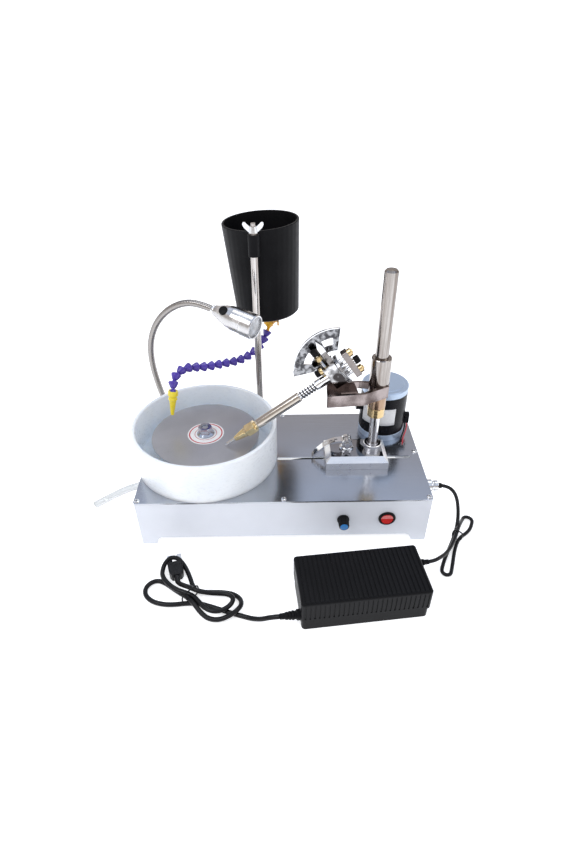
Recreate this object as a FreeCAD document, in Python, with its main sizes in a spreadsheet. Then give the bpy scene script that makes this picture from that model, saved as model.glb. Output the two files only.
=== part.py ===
import FreeCAD, Part
import math
import os
import Sketcher

# Flat-lap wet grinder with a mast-mounted faceting head, drip bucket, lamp and supply.
# Millimetres. Origin: centre of the base footprint on the bench. +X right, +Y back, +Z up.

V = FreeCAD.Vector
ROT = FreeCAD.Rotation
PLC = FreeCAD.Placement
doc = FreeCAD.newDocument("flat_lap_machine")
sheet = doc.addObject("Spreadsheet::Sheet", "Params")

SIZES = [
    ("base_length", 394.0), ("base_depth", 201.0), ("base_top", 77.0), ("plate_thick", 2.0),
    ("wall_thick", 8.0), ("overhang", 1.0), ("arch_height", 12.0), ("arch_leg", 20.0), ("arch_round", 10.0),
    ("slot_y", -11.0), ("slot_left", -6.0), ("slot_right", 181.5), ("slot_width", 5.6),
    ("basin_x", -108.6), ("basin_y", -0.7), ("basin_radius", 100.0), ("basin_wall", 5.0), ("basin_height", 60.0), ("basin_floor", 6.0),
    ("lap_radius", 75.0), ("lap_thick", 2.0), ("lap_level", 116.0), ("spindle_radius", 6.0), ("stub_radius", 5.0),
    ("driven_groove", 24.0), ("drive_groove", 15.0), ("belt_low", 17.0), ("belt_width", 8.0), ("belt_thick", 1.5), ("belt_gap", 0.3),
    ("motor_x", 151.5), ("motor_y", 61.0), ("motor_radius", 34.0), ("motor_bell", 10.0), ("motor_can_len", 62.0), ("motor_cap", 11.0), ("motor_shaft_radius", 4.0),
    ("mast_x", 126.5), ("mast_rod_radius", 6.5), ("mast_top", 352.0), ("tube_radius", 8.5), ("fit", 0.06),
    ("block_left", 60.0), ("block_right", 147.0), ("block_front", -38.0), ("block_back", 16.0), ("block_height", 18.0), ("block_bevel", 7.0),
    ("stud_x", 90.0), ("stud_radius", 2.5), ("pivot_level", 106.5), ("ear_radius", 7.2),
    ("collar_low", 152.0), ("collar_high", 166.0), ("bush_high", 185.5), ("strap_low", 186.0), ("strap_high", 203.0), ("sleeve_high", 240.0),
    ("swing_angle", 5.5), ("tilt_angle", 34.8), ("trunnion_reach", 56.5), ("trunnion_level", 222.0), ("quill_reach", 184.0),
    ("arm_offset", 25.0), ("rear_offset", 17.0), ("strap_thick", 4.0), ("quadrant_radius", 55.0), ("quadrant_thick", 2.2),
    ("rod_x", -34.0), ("rod_y", 85.0), ("rod_radius", 5.0), ("rod_top", 365.5),
    ("bucket_rim_radius", 53.0), ("bucket_base_radius", 46.0), ("bucket_height", 129.0), ("bucket_wall", 2.0), ("bucket_lean", 3.34),
    ("bucket_base_x", -19.3), ("bucket_base_y", 145.0), ("bucket_base_z", 238.0),
    ("link_radius", 7.0), ("link_ball", 4.6), ("link_cup", 4.9), ("link_neck", 2.4),
    ("neck_x", -177.0), ("neck_y", 85.0), ("neck_radius", 4.5), ("lamp_radius", 16.0), ("lamp_length", 64.0),
    ("knob_x", 79.7), ("panel_level", 43.0), ("knob_radius", 7.5), ("knob_length", 16.0), ("switch_x", 138.9), ("switch_radius", 11.5),
    ("socket_y", -57.0), ("socket_z", 62.0), ("drain_x", -170.0), ("drain_y", -39.0), ("drain_z", 56.0), ("hose_radius", 5.0),
    ("brick_length", 156.0), ("brick_depth", 73.0), ("brick_height", 49.0), ("brick_seam", 17.0), ("brick_x", 92.0), ("brick_y", -194.5), ("brick_turn", 5.9),
    ("dc_radius", 2.5), ("ac_radius", 3.0),
]
for i, (name, value) in enumerate(SIZES, start=1):
    sheet.set("A%d" % i, name)
    sheet.set("B%d" % i, repr(value))
    sheet.setAlias("B%d" % i, name)
doc.recompute()


class Dim:
    """A size with its number and the text that binds it to the sheet."""

    def __init__(self, value, text):
        self.v, self.t = float(value), text

    @staticmethod
    def of(o):
        return o if isinstance(o, Dim) else Dim(o, "(%.6g)" % o)

    def __add__(self, o):
        o = Dim.of(o)
        return Dim(self.v + o.v, "(%s + %s)" % (self.t, o.t))

    def __radd__(self, o):
        return Dim.of(o) + self

    def __sub__(self, o):
        o = Dim.of(o)
        return Dim(self.v - o.v, "(%s - %s)" % (self.t, o.t))

    def __rsub__(self, o):
        return Dim.of(o) - self

    def __mul__(self, o):
        o = Dim.of(o)
        return Dim(self.v * o.v, "(%s * %s)" % (self.t, o.t))

    def __rmul__(self, o):
        return Dim.of(o) * self

    def __truediv__(self, o):
        o = Dim.of(o)
        return Dim(self.v / o.v, "(%s / %s)" % (self.t, o.t))

    def __neg__(self):
        return Dim(-self.v, "(0 - %s)" % self.t)


class Sizes:
    def __getattr__(self, name):
        return Dim(float(sheet.get(name)), "Params.%s" % name)


P = Sizes()
nodes = {}
counter = [0]


def val(x):
    return x.v if isinstance(x, Dim) else float(x)


def tmp(name):
    counter[0] += 1
    return "%s_%d" % (name, counter[0])


def put(obj, at, rot=None):
    obj.Placement = PLC(V(*[val(c) for c in at]), rot or ROT())
    for axis, c in zip("xyz", at):
        if isinstance(c, Dim):
            obj.setExpression("Placement.Base." + axis, c.t)
    return obj


def prim(kind, sizes, at=(0, 0, 0), rot=None):
    o = doc.addObject("Part::" + kind, tmp(kind))
    for k, x in sizes.items():
        setattr(o, k, val(x))
        if isinstance(x, Dim):
            o.setExpression(k, x.t)
    return put(o, at, rot)


TOX = ROT(V(0, 1, 0), 90)
TONX = ROT(V(0, 1, 0), -90)
TOY = ROT(V(1, 0, 0), -90)
TONY = ROT(V(1, 0, 0), 90)


def cyl(r, length, at=(0, 0, 0), rot=None):
    return prim("Cylinder", {"Radius": r, "Height": length}, at, rot)


def box(lx, ly, lz, at=(0, 0, 0), rot=None):
    return prim("Box", {"Length": lx, "Width": ly, "Height": lz}, at, rot)


def cone(ra, rb, length, at=(0, 0, 0), rot=None):
    return prim("Cone", {"Radius1": ra, "Radius2": rb, "Height": length}, at, rot)


def fuse(*objs):
    if len(objs) == 1:
        return objs[0]
    o = doc.addObject("Part::MultiFuse", tmp("Fuse"))
    o.Shapes = list(objs)
    return o


def cut(base, *tools):
    o = doc.addObject("Part::Cut", tmp("Cut"))
    o.Base = base
    o.Tool = fuse(*tools)
    return o


def common(a, b):
    o = doc.addObject("Part::MultiCommon", tmp("Common"))
    o.Shapes = [a, b]
    return o


def group(*objs):
    o = doc.addObject("Part::Compound", tmp("Group"))
    o.Links = list(objs)
    return o


def node(label, obj):
    obj.Label = label
    nodes[label] = obj
    return obj


def plane(body, role):
    for f in body.Origin.OriginFeatures:
        if f.Role == role:
            return f


def sketch(body, role):
    sk = body.newObject("Sketcher::SketchObject", tmp("Sketch"))
    sk.AttachmentSupport = [(plane(body, role), "")]
    sk.MapMode = "FlatFace"
    return sk


def fix(sk, geo, pos, x, y):
    for c, kind, axis in ((x, "DistanceX", -2), (y, "DistanceY", -1)):
        if abs(val(c)) < 1e-9:
            sk.addConstraint(Sketcher.Constraint("PointOnObject", geo, pos, axis))
        else:
            k = sk.addConstraint(Sketcher.Constraint(kind, -1, 1, geo, pos, val(c)))
            if isinstance(c, Dim):
                sk.setExpression("Constraints[%d]" % k, c.t)


def poly(sk, pts):
    n, first = len(pts), sk.GeometryCount
    for i in range(n):
        a, b = pts[i], pts[(i + 1) % n]
        sk.addGeometry(Part.LineSegment(V(val(a[0]), val(a[1]), 0), V(val(b[0]), val(b[1]), 0)), False)
    for i in range(n):
        sk.addConstraint(Sketcher.Constraint("Coincident", first + i, 2, first + (i + 1) % n, 1))
    for i, (x, y) in enumerate(pts):
        fix(sk, first + i, 1, x, y)


def ring(sk, x, y, r):
    g = sk.addGeometry(Part.Circle(V(val(x), val(y), 0), V(0, 0, 1), val(r)), False)
    k = sk.addConstraint(Sketcher.Constraint("Radius", g, val(r)))
    if isinstance(r, Dim):
        sk.setExpression("Constraints[%d]" % k, r.t)
    fix(sk, g, 3, x, y)


def turned(pts, at=(0, 0, 0), rot=None):
    """Lathe-turned piece: closed (radius, height) profile spun about the local Z axis."""
    body = doc.addObject("PartDesign::Body", tmp("Turned"))
    sk = sketch(body, "XZ_Plane")
    poly(sk, pts)
    rev = body.newObject("PartDesign::Revolution", tmp("Revolution"))
    rev.Profile = sk
    rev.ReferenceAxis = (sk, ["V_Axis"])
    rev.Angle = 360.0
    body.Tip = rev
    return put(body, at, rot)


def padded(pts, height, at=(0, 0, 0), rot=None, holes=(), bevel=None, fillet=None, pick=None):
    """Sheet or block: polygon outline with round holes, extruded along local Z."""
    body = doc.addObject("PartDesign::Body", tmp("Padded"))
    sk = sketch(body, "XY_Plane")
    poly(sk, pts)
    for x, y, r in holes:
        ring(sk, x, y, r)
    pad = body.newObject("PartDesign::Pad", tmp("Pad"))
    pad.Profile = sk
    pad.Length = val(height)
    if isinstance(height, Dim):
        pad.setExpression("Length", height.t)
    body.Tip = pad
    if bevel is not None or fillet is not None:
        doc.recompute()
        edges = ["Edge%d" % (k + 1) for k, e in enumerate(pad.Shape.Edges) if pick(e)]
        kind = "Chamfer" if bevel is not None else "Fillet"
        f = body.newObject("PartDesign::" + kind, tmp(kind))
        f.Base = (pad, edges)
        prop, size = ("Size", bevel) if bevel is not None else ("Radius", fillet)
        setattr(f, prop, val(size))
        if isinstance(size, Dim):
            f.setExpression(prop, size.t)
        body.Tip = f
    return put(body, at, rot)


def upright(e):
    a, b = e.Vertexes[0].Point, e.Vertexes[-1].Point
    return abs(a.x - b.x) < 1e-6 and abs(a.y - b.y) < 1e-6 and abs(a.z - b.z) > 1e-6


def hexagon(across):
    r = across / (2 * math.cos(math.radians(30)))
    return [(r * math.cos(math.radians(60 * k)), r * math.sin(math.radians(60 * k))) for k in range(6)]


def route(points):
    """Straight runs joined by tangent arcs, each arc as large as its two runs allow."""
    pts = [V(*p) for p in points]
    edges, radii, prev = [], [], pts[0]
    for i in range(1, len(pts) - 1):
        a, b, c = pts[i - 1], pts[i], pts[i + 1]
        u, w = (a - b), (c - b)
        la, lc = u.Length, w.Length
        u.normalize()
        w.normalize()
        turn = math.pi - math.acos(max(-1.0, min(1.0, u.dot(w))))
        trim = 0.45 * min(la, lc)
        radius = trim / math.tan(turn / 2)
        radii.append(radius)
        p, q = b + u * trim, b + w * trim
        bis = u + w
        bis.normalize()
        mid = b + bis * (radius / math.cos(turn / 2) - radius)
        edges.append(Part.LineSegment(prev, p).toShape())
        edges.append(Part.Arc(p, mid, q).toShape())
        prev = q
    edges.append(Part.LineSegment(prev, pts[-1]).toShape())
    return Part.Wire(edges), radii


def tube_shape(label, points, r):
    wire, radii = route(points)
    d = V(*points[1]) - V(*points[0])
    d.normalize()
    prof = Part.Wire([Part.makeCircle(r, V(*points[0]), d)])
    solid = wire.makePipeShell([prof], True, False)
    want = math.pi * r * r * wire.Length
    print("tube %s length %.1f mm, volume ratio %.4f, radii %s" % (label, wire.Length, solid.Volume / want, " ".join("%.0f" % x for x in radii)))
    return solid


def shaped(shape):
    o = doc.addObject("Part::Feature", tmp("Shape"))
    o.Shape = shape
    return o


# ------------------------------------------------------------------ base
hx, hy = P.base_length / 2, P.base_depth / 2
plate_low = P.base_top - P.plate_thick
screw_xy = [(-192, -96), (0, -96), (192, -96), (192, 0), (-192, 96), (0, 96), (192, 96)]
plate_pad = padded([(-hx, -hy), (hx, -hy), (hx, hy), (-hx, hy)], P.plate_thick, (0, 0, plate_low), fillet=4.0, pick=upright)
plate_tools = [cyl(20, 10, (P.basin_x, P.basin_y, 70)), cyl(11, 10, (P.motor_x, P.motor_y, 70)),
               box(P.slot_right - P.slot_left, P.slot_width, 10, (P.slot_left, P.slot_y - P.slot_width / 2, 70)),
               cyl(P.slot_width / 2, 10, (P.slot_left, P.slot_y, 70)), cyl(P.slot_width / 2, 10, (P.slot_right, P.slot_y, 70)),
               cyl(P.rod_radius + 0.3, 10, (P.rod_x, P.rod_y, 70)), cyl(P.neck_radius + 0.3, 10, (P.neck_x, P.neck_y, 70)),
               cyl(6.4, 10, (P.drain_x, P.drain_y, 70)), cyl(4, 10, (177, 20, 70))]
plate_tools += [cyl(2, 10, (x, y, 70)) for x, y in screw_xy]
node("top_plate", cut(plate_pad, *plate_tools))

ox, oy = hx - P.overhang, hy - P.overhang
shell = padded([(-ox, -(oy - P.wall_thick)), (-(ox - P.wall_thick), -(oy - P.wall_thick)), (-(ox - P.wall_thick), oy - P.wall_thick),
                (ox - P.wall_thick, oy - P.wall_thick), (ox - P.wall_thick, -(oy - P.wall_thick)), (ox, -(oy - P.wall_thick)), (ox, oy), (-ox, oy)], plate_low)
shell_tools = [box((ox - P.arch_leg) * 2, 30, P.arch_height, (-(ox - P.arch_leg), 85, 0)),
               cyl(6.4, 30, (-205, P.drain_y, P.drain_z), TOX), cyl(8.2, 30, (180, P.socket_y, P.socket_z), TOX)]
shell_tools += [cyl(2, 14, (x, y, 62)) for x, y in screw_xy if y > -50]
shell_tools += [cyl(10.0, 8, (P.rod_x, P.rod_y, plate_low - 8)), cyl(9.6, 7, (P.neck_x, P.neck_y, plate_low - 7))]
# flat tie across the bottom, joining the two side walls
cross_tie = box((ox - P.wall_thick) * 2 + 2, 24, 3, (-(ox - P.wall_thick) - 1, -12, 0))
node("base_shell", cut(fuse(shell, cross_tie), *shell_tools))

# front panel: sheet with a low arch between its two legs
panel = padded([(-ox, 0), (ox, 0), (ox, plate_low), (-ox, plate_low)], P.wall_thick, (0, -(oy - P.wall_thick), 0), TONY,
               holes=[(P.knob_x, P.panel_level, 3.6), (P.switch_x, P.panel_level, 10.1)])
arch = padded([(-(ox - P.arch_leg), -5), (ox - P.arch_leg, -5), (ox - P.arch_leg, P.arch_height), (-(ox - P.arch_leg), P.arch_height)], 40, (0, -80, 0), TONY,
              fillet=P.arch_round, pick=lambda e: upright(e) and e.Vertexes[0].Point.y > 1)
node("front_panel", cut(panel, arch, *[cyl(2, 14, (x, y, 62)) for x, y in screw_xy if y < -50]))

screws = [turned([(0, -13), (1.75, -13), (1.75, 0), (3.6, 0), (3.6, 0.7), (3.0, 1.6), (1.6, 2.2), (0, 2.4)], (x, y, P.base_top)) for x, y in screw_xy]
rod_nut = padded(hexagon(17), 7, (P.rod_x, P.rod_y, P.base_top), holes=[(0, 0, P.rod_radius)])
rod_nut_low = padded(hexagon(17), 7, (P.rod_x, P.rod_y, plate_low - 7), holes=[(0, 0, P.rod_radius)])
ferrule = turned([(P.neck_radius + P.fit, 0), (8, 0), (8, 4), (7, 5), (7, 12), (P.neck_radius + P.fit, 12)], (P.neck_x, P.neck_y, P.base_top))
ferrule_nut = padded(hexagon(16), 6, (P.neck_x, P.neck_y, plate_low - 6), holes=[(0, 0, P.neck_radius + P.fit)])
node("plate_fasteners", group(*screws, rod_nut, rod_nut_low, ferrule, ferrule_nut))

# ------------------------------------------------------------------ basin and spindle
br, bw, bh, bf = P.basin_radius, P.basin_wall, P.basin_height, P.basin_floor
basin = turned([(20, 0), (br, 0), (br, bh - 1.2), (br - 1.2, bh), (br - bw + 1.2, bh), (br - bw, bh - 1.2), (br - bw, bf + 3), (br - bw - 3, bf), (25, bf), (25, 22), (20, 22)],
               (P.basin_x, P.basin_y, P.base_top))
node("splash_basin", cut(basin, cyl(6.3, 20, (P.drain_x, P.drain_y, 70))))

bx, by = P.basin_x, P.basin_y
node("spindle_housing", turned([(14, 30), (19, 30), (19, 69), (30, 69), (30, plate_low), (19, plate_low), (19, 97), (14, 97), (14, 89), (12, 89), (12, 38), (14, 38)], (bx, by, 0)))
sr = P.spindle_radius
node("spindle_bearings", group(*[turned([(sr + P.fit, 0), (14, 0), (14, 8), (sr + P.fit, 8)], (bx, by, z)) for z in (30, 89)]))
lt = P.lap_level - P.lap_thick
node("spindle_shaft", turned([(0, 12), (sr, 12), (sr, 101), (25, 101), (25, 105), (P.lap_radius - 1, 106), (P.lap_radius - 1, lt), (P.stub_radius, lt), (P.stub_radius, lt + 11.5), (P.stub_radius - 1, lt + 12.5), (0, lt + 12.5)], (bx, by, 0)))
dg, zl, zh = P.driven_groove, P.belt_low, P.belt_low + P.belt_width
node("driven_pulley", turned([(sr, zl - 3), (dg + 3, zl - 3), (dg + 3, zl - 1.5), (dg, zl), (dg, zh), (dg + 3, zh + 1.5), (dg + 3, zh + 3), (sr, zh + 3)], (bx, by, 0)))
node("lap_disc", turned([(P.stub_radius + 0.1, 0), (P.lap_radius - 0.4, 0), (P.lap_radius, 0.4), (P.lap_radius, P.lap_thick - 0.3), (P.lap_radius - 0.3, P.lap_thick), (P.stub_radius + 0.1, P.lap_thick)], (bx, by, lt)))
nut_hex = padded(hexagon(17), 9.5, (bx, by, P.lap_level + 2.5), holes=[(0, 0, P.stub_radius)])
nut_crown = turned([(0, -20), (20, -20), (20, 8.0), (8.4, 12.2), (0, 12.2)], (bx, by, P.lap_level))
nut_flange = turned([(P.stub_radius, 0), (12, 0), (12, 1.2), (8.6, 3.4), (P.stub_radius, 3.4)], (bx, by, P.lap_level))
node("lap_nut", fuse(common(nut_hex, nut_crown), nut_flange))

# ------------------------------------------------------------------ motor and belt
mx, my, mr, ms = P.motor_x, P.motor_y, P.motor_radius, P.motor_shaft_radius
bell_top = P.base_top + P.motor_bell
can_top = bell_top + P.motor_can_len
can = turned([(mr - 2.5, 0), (mr, 0), (mr, P.motor_can_len), (mr - 2.5, P.motor_can_len)], (mx, my, bell_top))
brush_left = cyl(6, 10, (mx - 31.8, my - 6, 123.5), TONX)
brush_right = cyl(5, 7, (mx + 31.5, my - 10, 108), TOX)
terminal = box(8, 9, 9, (mx + 30.5, my - 14.5, 96))
core = cyl(mr - 2.5, P.motor_can_len, (mx, my, bell_top))
node("motor_can", cut(fuse(can, brush_left, brush_right, terminal), core))
bell = turned([(ms + P.fit, -5), (10, -5), (10, 0), (mr, 0), (mr, P.motor_bell - 1), (mr - 0.5, P.motor_bell), (ms + P.fit, P.motor_bell)], (mx, my, P.base_top))
cap = turned([(0, 5), (ms + P.fit, 5), (ms + P.fit, 0), (mr - 0.3, 0), (mr, 0.8), (mr, P.motor_cap - 2), (mr - 1.6, P.motor_cap - 0.6), (27, P.motor_cap - 0.6), (26.2, P.motor_cap), (0, P.motor_cap)], (mx, my, can_top))
node("motor_end_bells", group(bell, cap))
node("motor_armature", turned([(0, 12), (ms, 12), (ms, 95), (26, 95), (26, 140), (ms, 140), (ms, 152), (0, 152)], (mx, my, 0)))
pg = P.drive_groove
node("drive_pulley", turned([(ms, zl - 3), (pg + 3, zl - 3), (pg + 3, zl - 1.5), (pg, zl), (pg, zh), (pg + 3, zh + 1.5), (pg + 3, zh + 3), (ms, zh + 3)], (mx, my, 0)))


def band(ra, rb, low, high):
    a, b = V(bx.v, by.v, low), V(mx.v, my.v, low)
    d = b - a
    phi, alpha = math.atan2(d.y, d.x), math.acos((ra - rb) / d.Length)

    def on(c, r, ang):
        return c + V(r * math.cos(ang), r * math.sin(ang), 0)
    e = [Part.LineSegment(on(a, ra, phi + alpha), on(b, rb, phi + alpha)).toShape(),
         Part.Arc(on(b, rb, phi + alpha), on(b, rb, phi), on(b, rb, phi - alpha)).toShape(),
         Part.LineSegment(on(b, rb, phi - alpha), on(a, ra, phi - alpha)).toShape(),
         Part.Arc(on(a, ra, phi - alpha), on(a, ra, phi + math.pi), on(a, ra, phi + alpha)).toShape()]
    return Part.Face(Part.Wire(e)).extrude(V(0, 0, high - low))


gap = val(P.belt_gap)
bt = val(P.belt_thick)
node("drive_belt", shaped(band(dg.v + gap + bt, pg.v + gap + bt, zl.v + 0.5, zh.v - 0.5).cut(band(dg.v + gap, pg.v + gap, zl.v + 0.5, zh.v - 0.5))))

lead_a = [(187.5, 49.0, 96.0), (188.4, 47.5, 90.5), (186.5, 42.0, 86.0), (183.0, 35.0, 82.5), (180.0, 28.0, 81.5), (178.6, 22.5, 79.5), (178.6, 21.0, 74.0)]
lead_b = [(184.5, 49.0, 96.0), (185.4, 47.5, 90.0), (183.2, 41.5, 84.5), (179.6, 34.5, 81.0), (176.8, 27.5, 80.5), (175.4, 22.5, 79.0), (175.4, 21.0, 74.0)]
node("motor_leads", group(*[cut(shaped(tube_shape(k, pts, 1.1)), box(10, 12, 10, (mx + 29.5, my - 16, 95.95))) for k, pts in (("lead_a", lead_a), ("lead_b", lead_b))]))

# ------------------------------------------------------------------ drain
dx, dy, dz = P.drain_x, P.drain_y, P.drain_z
elbow_body = fuse(cyl(6, 33, (dx, dy, 50)), cyl(9, 2, (dx, dy, P.base_top + bf)), cyl(5.4, 27.5, (dx, dy, dz), TONX))
node("drain_elbow", cut(elbow_body, cyl(4, 40, (dx, dy, dz - 0.5)), cyl(3.4, 40, (dx, dy, dz), TONX)))
DRAIN = [(-197.5, -39.0, 56.0), (-215.0, -41.6, 53.0), (-233.0, -45.2, 46.5), (-251.0, -48.6, 38.5), (-268.0, -52.0, 30.0)]
node("drain_hose", cut(shaped(tube_shape("drain_hose", DRAIN, P.hose_radius.v)), cyl(5.45, 27.55, (dx, dy, dz), TONX)))

# ------------------------------------------------------------------ water bucket and rod
rr = P.rod_radius
node("water_rod", turned([(0, 62), (rr, 62), (rr, P.rod_top), (3, P.rod_top), (3, P.rod_top + 13), (0, P.rod_top + 13)], (P.rod_x, P.rod_y, 0)))
lean = ROT(V(0, 1, 0), -P.bucket_lean.v)
Bp = (P.bucket_base_x, P.bucket_base_y, P.bucket_base_z)
rb, rt, hb, wb = P.bucket_base_radius, P.bucket_rim_radius, P.bucket_height, P.bucket_wall
bucket_out = turned([(0, 0), (rb - 2, 0), (rb, 2), (rt, hb - 0.8), (rt - 0.6, hb), (0, hb)], Bp, lean)
bucket_in = turned([(0, wb), (rb - wb - 2, wb), (rb - wb, wb + 2), (rt - wb, hb + 20), (0, hb + 20)], Bp, lean)
hanger = fuse(cyl(7.6, 27, (P.rod_x, P.rod_y, 337.5)), box(14, 13.4, 25, (P.rod_x - 7, P.rod_y, 338.5)))
node("water_bucket", fuse(cut(bucket_out, bucket_in), cut(hanger, cyl(rr + P.fit, 40, (P.rod_x, P.rod_y, 330)), prim("Cone", {"Radius1": rb - 0.9, "Radius2": rt - 1.3, "Height": hb}, Bp, lean))))
wz = P.rod_top + 1.6
wing_hub = turned([(3 + P.fit, 0), (6, 0), (4.4, 7.5), (3 + P.fit, 7.5)], (P.rod_x, P.rod_y, wz))
wings = []
for s in (-1, 1):
    wing = padded([(3.2, 0.6), (6.0, 0.8), (11.5, 6.0), (13.5, 10.0), (12.8, 12.6), (10.6, 12.8), (8.4, 10.5), (3.6, 6.2)], 2.2,
                  (0, 0, 0), fillet=1.4, pick=lambda e: upright(e) and e.Vertexes[0].Point.x > 7)
    wings.append(put(wing, (P.rod_x, P.rod_y + 1.1 * s, wz), ROT(V(s, 0, 0), V(0, 0, 1), V(0, -s, 0), "XYZ")))
node("wing_nut", fuse(wing_hub, *wings))

axis_down = lean.multVec(V(0, 0, -1))
base_pt = V(*[val(c) for c in Bp])
valve_rot = ROT(V(0, 0, 1), axis_down)
valve_main = turned([(0, 0), (10, 0), (10, 3), (6.5, 4.5), (6.5, 9), (8.5, 10), (8.5, 21.5), (6.0, 24), (6.0, 25.4), (4.4, 27), (0, 27)], Bp, valve_rot)
bend_pt = base_pt + axis_down * 24.0
outlet_dir = V(-0.326, -0.321, -0.890)
outlet_dir.normalize()
valve_outlet = turned([(0, -2), (3.4, -2), (3.4, 4), (2.4, 6), (2.4, 8.7), (4.0, 10.2), (4.6, 12.5), (4.0, 14.8), (2.3, 16.5), (0, 17.1)], tuple(bend_pt), ROT(V(0, 0, 1), outlet_dir))
hand_pt = base_pt + axis_down * 16.5
stem_seat = cyl(4.5, 4, (hand_pt.x + 6.5, hand_pt.y, hand_pt.z), TOX)
node("valve_body", fuse(valve_main, valve_outlet, stem_seat))
handle = fuse(cyl(4, 4, (hand_pt.x + 10.8, hand_pt.y, hand_pt.z), TOX), box(2.6, 17, 6, (hand_pt.x + 12.2, hand_pt.y - 15, hand_pt.z - 3)))
node("valve_handle", handle)

# jointed hose: ball of one link sits in the cup of the next
ball0 = bend_pt + outlet_dir * 12.5
CENTRES = [(ball0.x, ball0.y, ball0.z), (-26.6, 136.6, 193.8), (-33.2, 128.5, 186.4), (-41.7, 121.2, 180.7), (-51.3, 114.1, 176.7), (-61.4, 106.9, 174.9), (-71.9, 99.9, 175.2),
           (-82.4, 93.0, 176.6), (-92.8, 86.2, 178.2), (-103.1, 79.2, 179.9), (-113.2, 72.1, 182.5), (-123.0, 65.0, 186.0), (-132.5, 57.4, 189.3), (-141.2, 48.7, 190.2),
           (-147.6, 38.6, 187.4), (-150.4, 28.4, 181.0), (-150.6, 19.6, 172.6)]


def link_profile(pitch):
    lr, lb, lc, ln = P.link_radius.v, P.link_ball.v, P.link_cup.v, P.link_neck.v
    arc = [(lc * math.cos(math.radians(a)), lc * math.sin(math.radians(a))) for a in (-24, 0, 25, 50, 72)]
    ball = [(lb * math.cos(math.radians(a)), pitch + lb * math.sin(math.radians(a))) for a in (-58, -30, 0, 30, 60)]
    return [(0, lc)] + [(r, z) for r, z in reversed(arc)] + [(lr - 0.7, -2.5), (lr, -1.9), (lr, -0.9), (lr - 1.5, 2.6), (ln + 1.4, 5.9), (ln, 7.2)] + ball + [(0, pitch + lb)]


def links(first, last):
    out = []
    for i in range(first, last):
        a, b = V(*CENTRES[i]), V(*CENTRES[i + 1])
        out.append(turned(link_profile((b - a).Length), tuple(a), ROT(V(0, 0, 1), b - a)))
    return out


node("hose_links_upper", group(*links(0, 8)))
node("hose_links_lower", group(*links(8, 16)))
tip = V(-155.0, 14.0, 139.0)
last = V(*CENTRES[16])
nd = (tip - last)
nl = nd.Length
lc = P.link_cup.v
cup = [(lc * math.cos(math.radians(a)), lc * math.sin(math.radians(a))) for a in (72, 50, 25, 0, -24)]
nozzle = turned([(1.2, lc)] + cup + [(6.2, -2.4), (7, -0.6), (7, 4.5), (5.6, 6.0), (5.2, 8.0), (6.2, 9.0), (6.2, 11.0), (5.0, 12.0), (2.2, nl), (1.2, nl)], tuple(last), ROT(V(0, 0, 1), nd))
node("drip_nozzle", nozzle)

# ------------------------------------------------------------------ lamp on a flexible neck
NECK = [(-177.0, 85.0, 66.0), (-177.0, 85.0, 100.0), (-186.0, 86.5, 140.0), (-191.0, 87.2, 180.0), (-188.0, 85.6, 215.0), (-175.0, 79.4, 246.0), (-154.0, 69.4, 271.0), (-128.0, 57.0, 287.0), (-104.0, 45.6, 289.5), (-86.0, 38.0, 284.0)]
head_dir = V(0.838, -0.525, -0.148)
head_dir.normalize()
neck_end = V(*NECK[-1])
neck_tube = shaped(tube_shape("lamp_neck", NECK, P.neck_radius.v))
ball = prim("Sphere", {"Radius": 6.0}, tuple(neck_end))
node("lamp_neck", fuse(neck_tube, ball))
lamp_x = head_dir.cross(V(0, 0, 1))
lamp_x.normalize()
lamp_up = lamp_x.cross(head_dir)
lamp_rot = ROT(lamp_x, V(0, 0, 0) - lamp_up, head_dir, "ZXY")
lr, ll = P.lamp_radius, P.lamp_length
seat = 6.22
shell_prof = [(0, seat)] + [(seat * math.sin(math.radians(a)), seat * math.cos(math.radians(a))) for a in (25, 50, 68)] + \
             [(7.4, 2.2), (8.4, 5.5), (10.8, 11.5), (12.9, 18), (14.4, 25), (lr - 0.6, 33), (lr - 0.6, 47), (lr, 48), (lr, ll - 1.5), (lr - 0.8, ll), (lr - 2.2, ll), (lr - 2.2, ll - 12), (0, ll - 12)]
lamp_turned = turned(shell_prof, tuple(neck_end), lamp_rot)
button_at = neck_end + head_dir * 20.5
press_dir = lamp_up * math.cos(math.radians(40)) + lamp_x * math.sin(math.radians(40))
pocket = cyl(5.9, 8, tuple(button_at + press_dir * 9.6), ROT(V(0, 0, 1), press_dir))
node("lamp_shell", cut(lamp_turned, pocket))
node("lamp_lens", turned([(0, ll - 9), (lr - 2.2, ll - 9), (lr - 2.2, ll - 3), (lr - 4, ll - 2.4), (0, ll - 1.2)], tuple(neck_end), lamp_rot))
node("lamp_button", turned([(0, 0), (5.8, 0), (5.8, 3.4), (5.2, 4.2), (0, 4.6)], tuple(button_at + press_dir * 11.4), ROT(V(0, 0, 1), press_dir)))

# ------------------------------------------------------------------ mast foot and clamp
lift = 0.1
ax, ay = P.mast_x, P.slot_y
bl, brt, bfr, bbk = P.block_left, P.block_right, P.block_front, P.block_back
block = padded([(bl, bfr), (brt, bfr), (brt, bbk), (bl, bbk)], P.block_height - lift, (0, 0, P.base_top + lift), bevel=P.block_bevel,
               pick=lambda e: e.Vertexes[0].Point.z > 10 and e.Vertexes[-1].Point.z > 10)
block_top = P.base_top + P.block_height
boss = turned([(0, -4), (11, -4), (11, 5), (12.6, 9.5), (11.8, 10.5), (8.2, 10.5), (8.2, 12), (0, 12)], (ax, ay, block_top))
node("mast_block", cut(fuse(block, boss), cyl(P.mast_rod_radius, 60, (ax, ay, P.base_top + 4)), cyl(P.stud_radius + 0.4, 60, (P.stud_x, ay, 70))))
node("mast_rod", turned([(0, P.base_top + 4), (P.mast_rod_radius, P.base_top + 4), (P.mast_rod_radius, P.mast_top - 10), (P.mast_rod_radius - 1, P.mast_top - 9), (0, P.mast_top - 9)], (ax, ay, 0)))
pv = P.pivot_level
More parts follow.
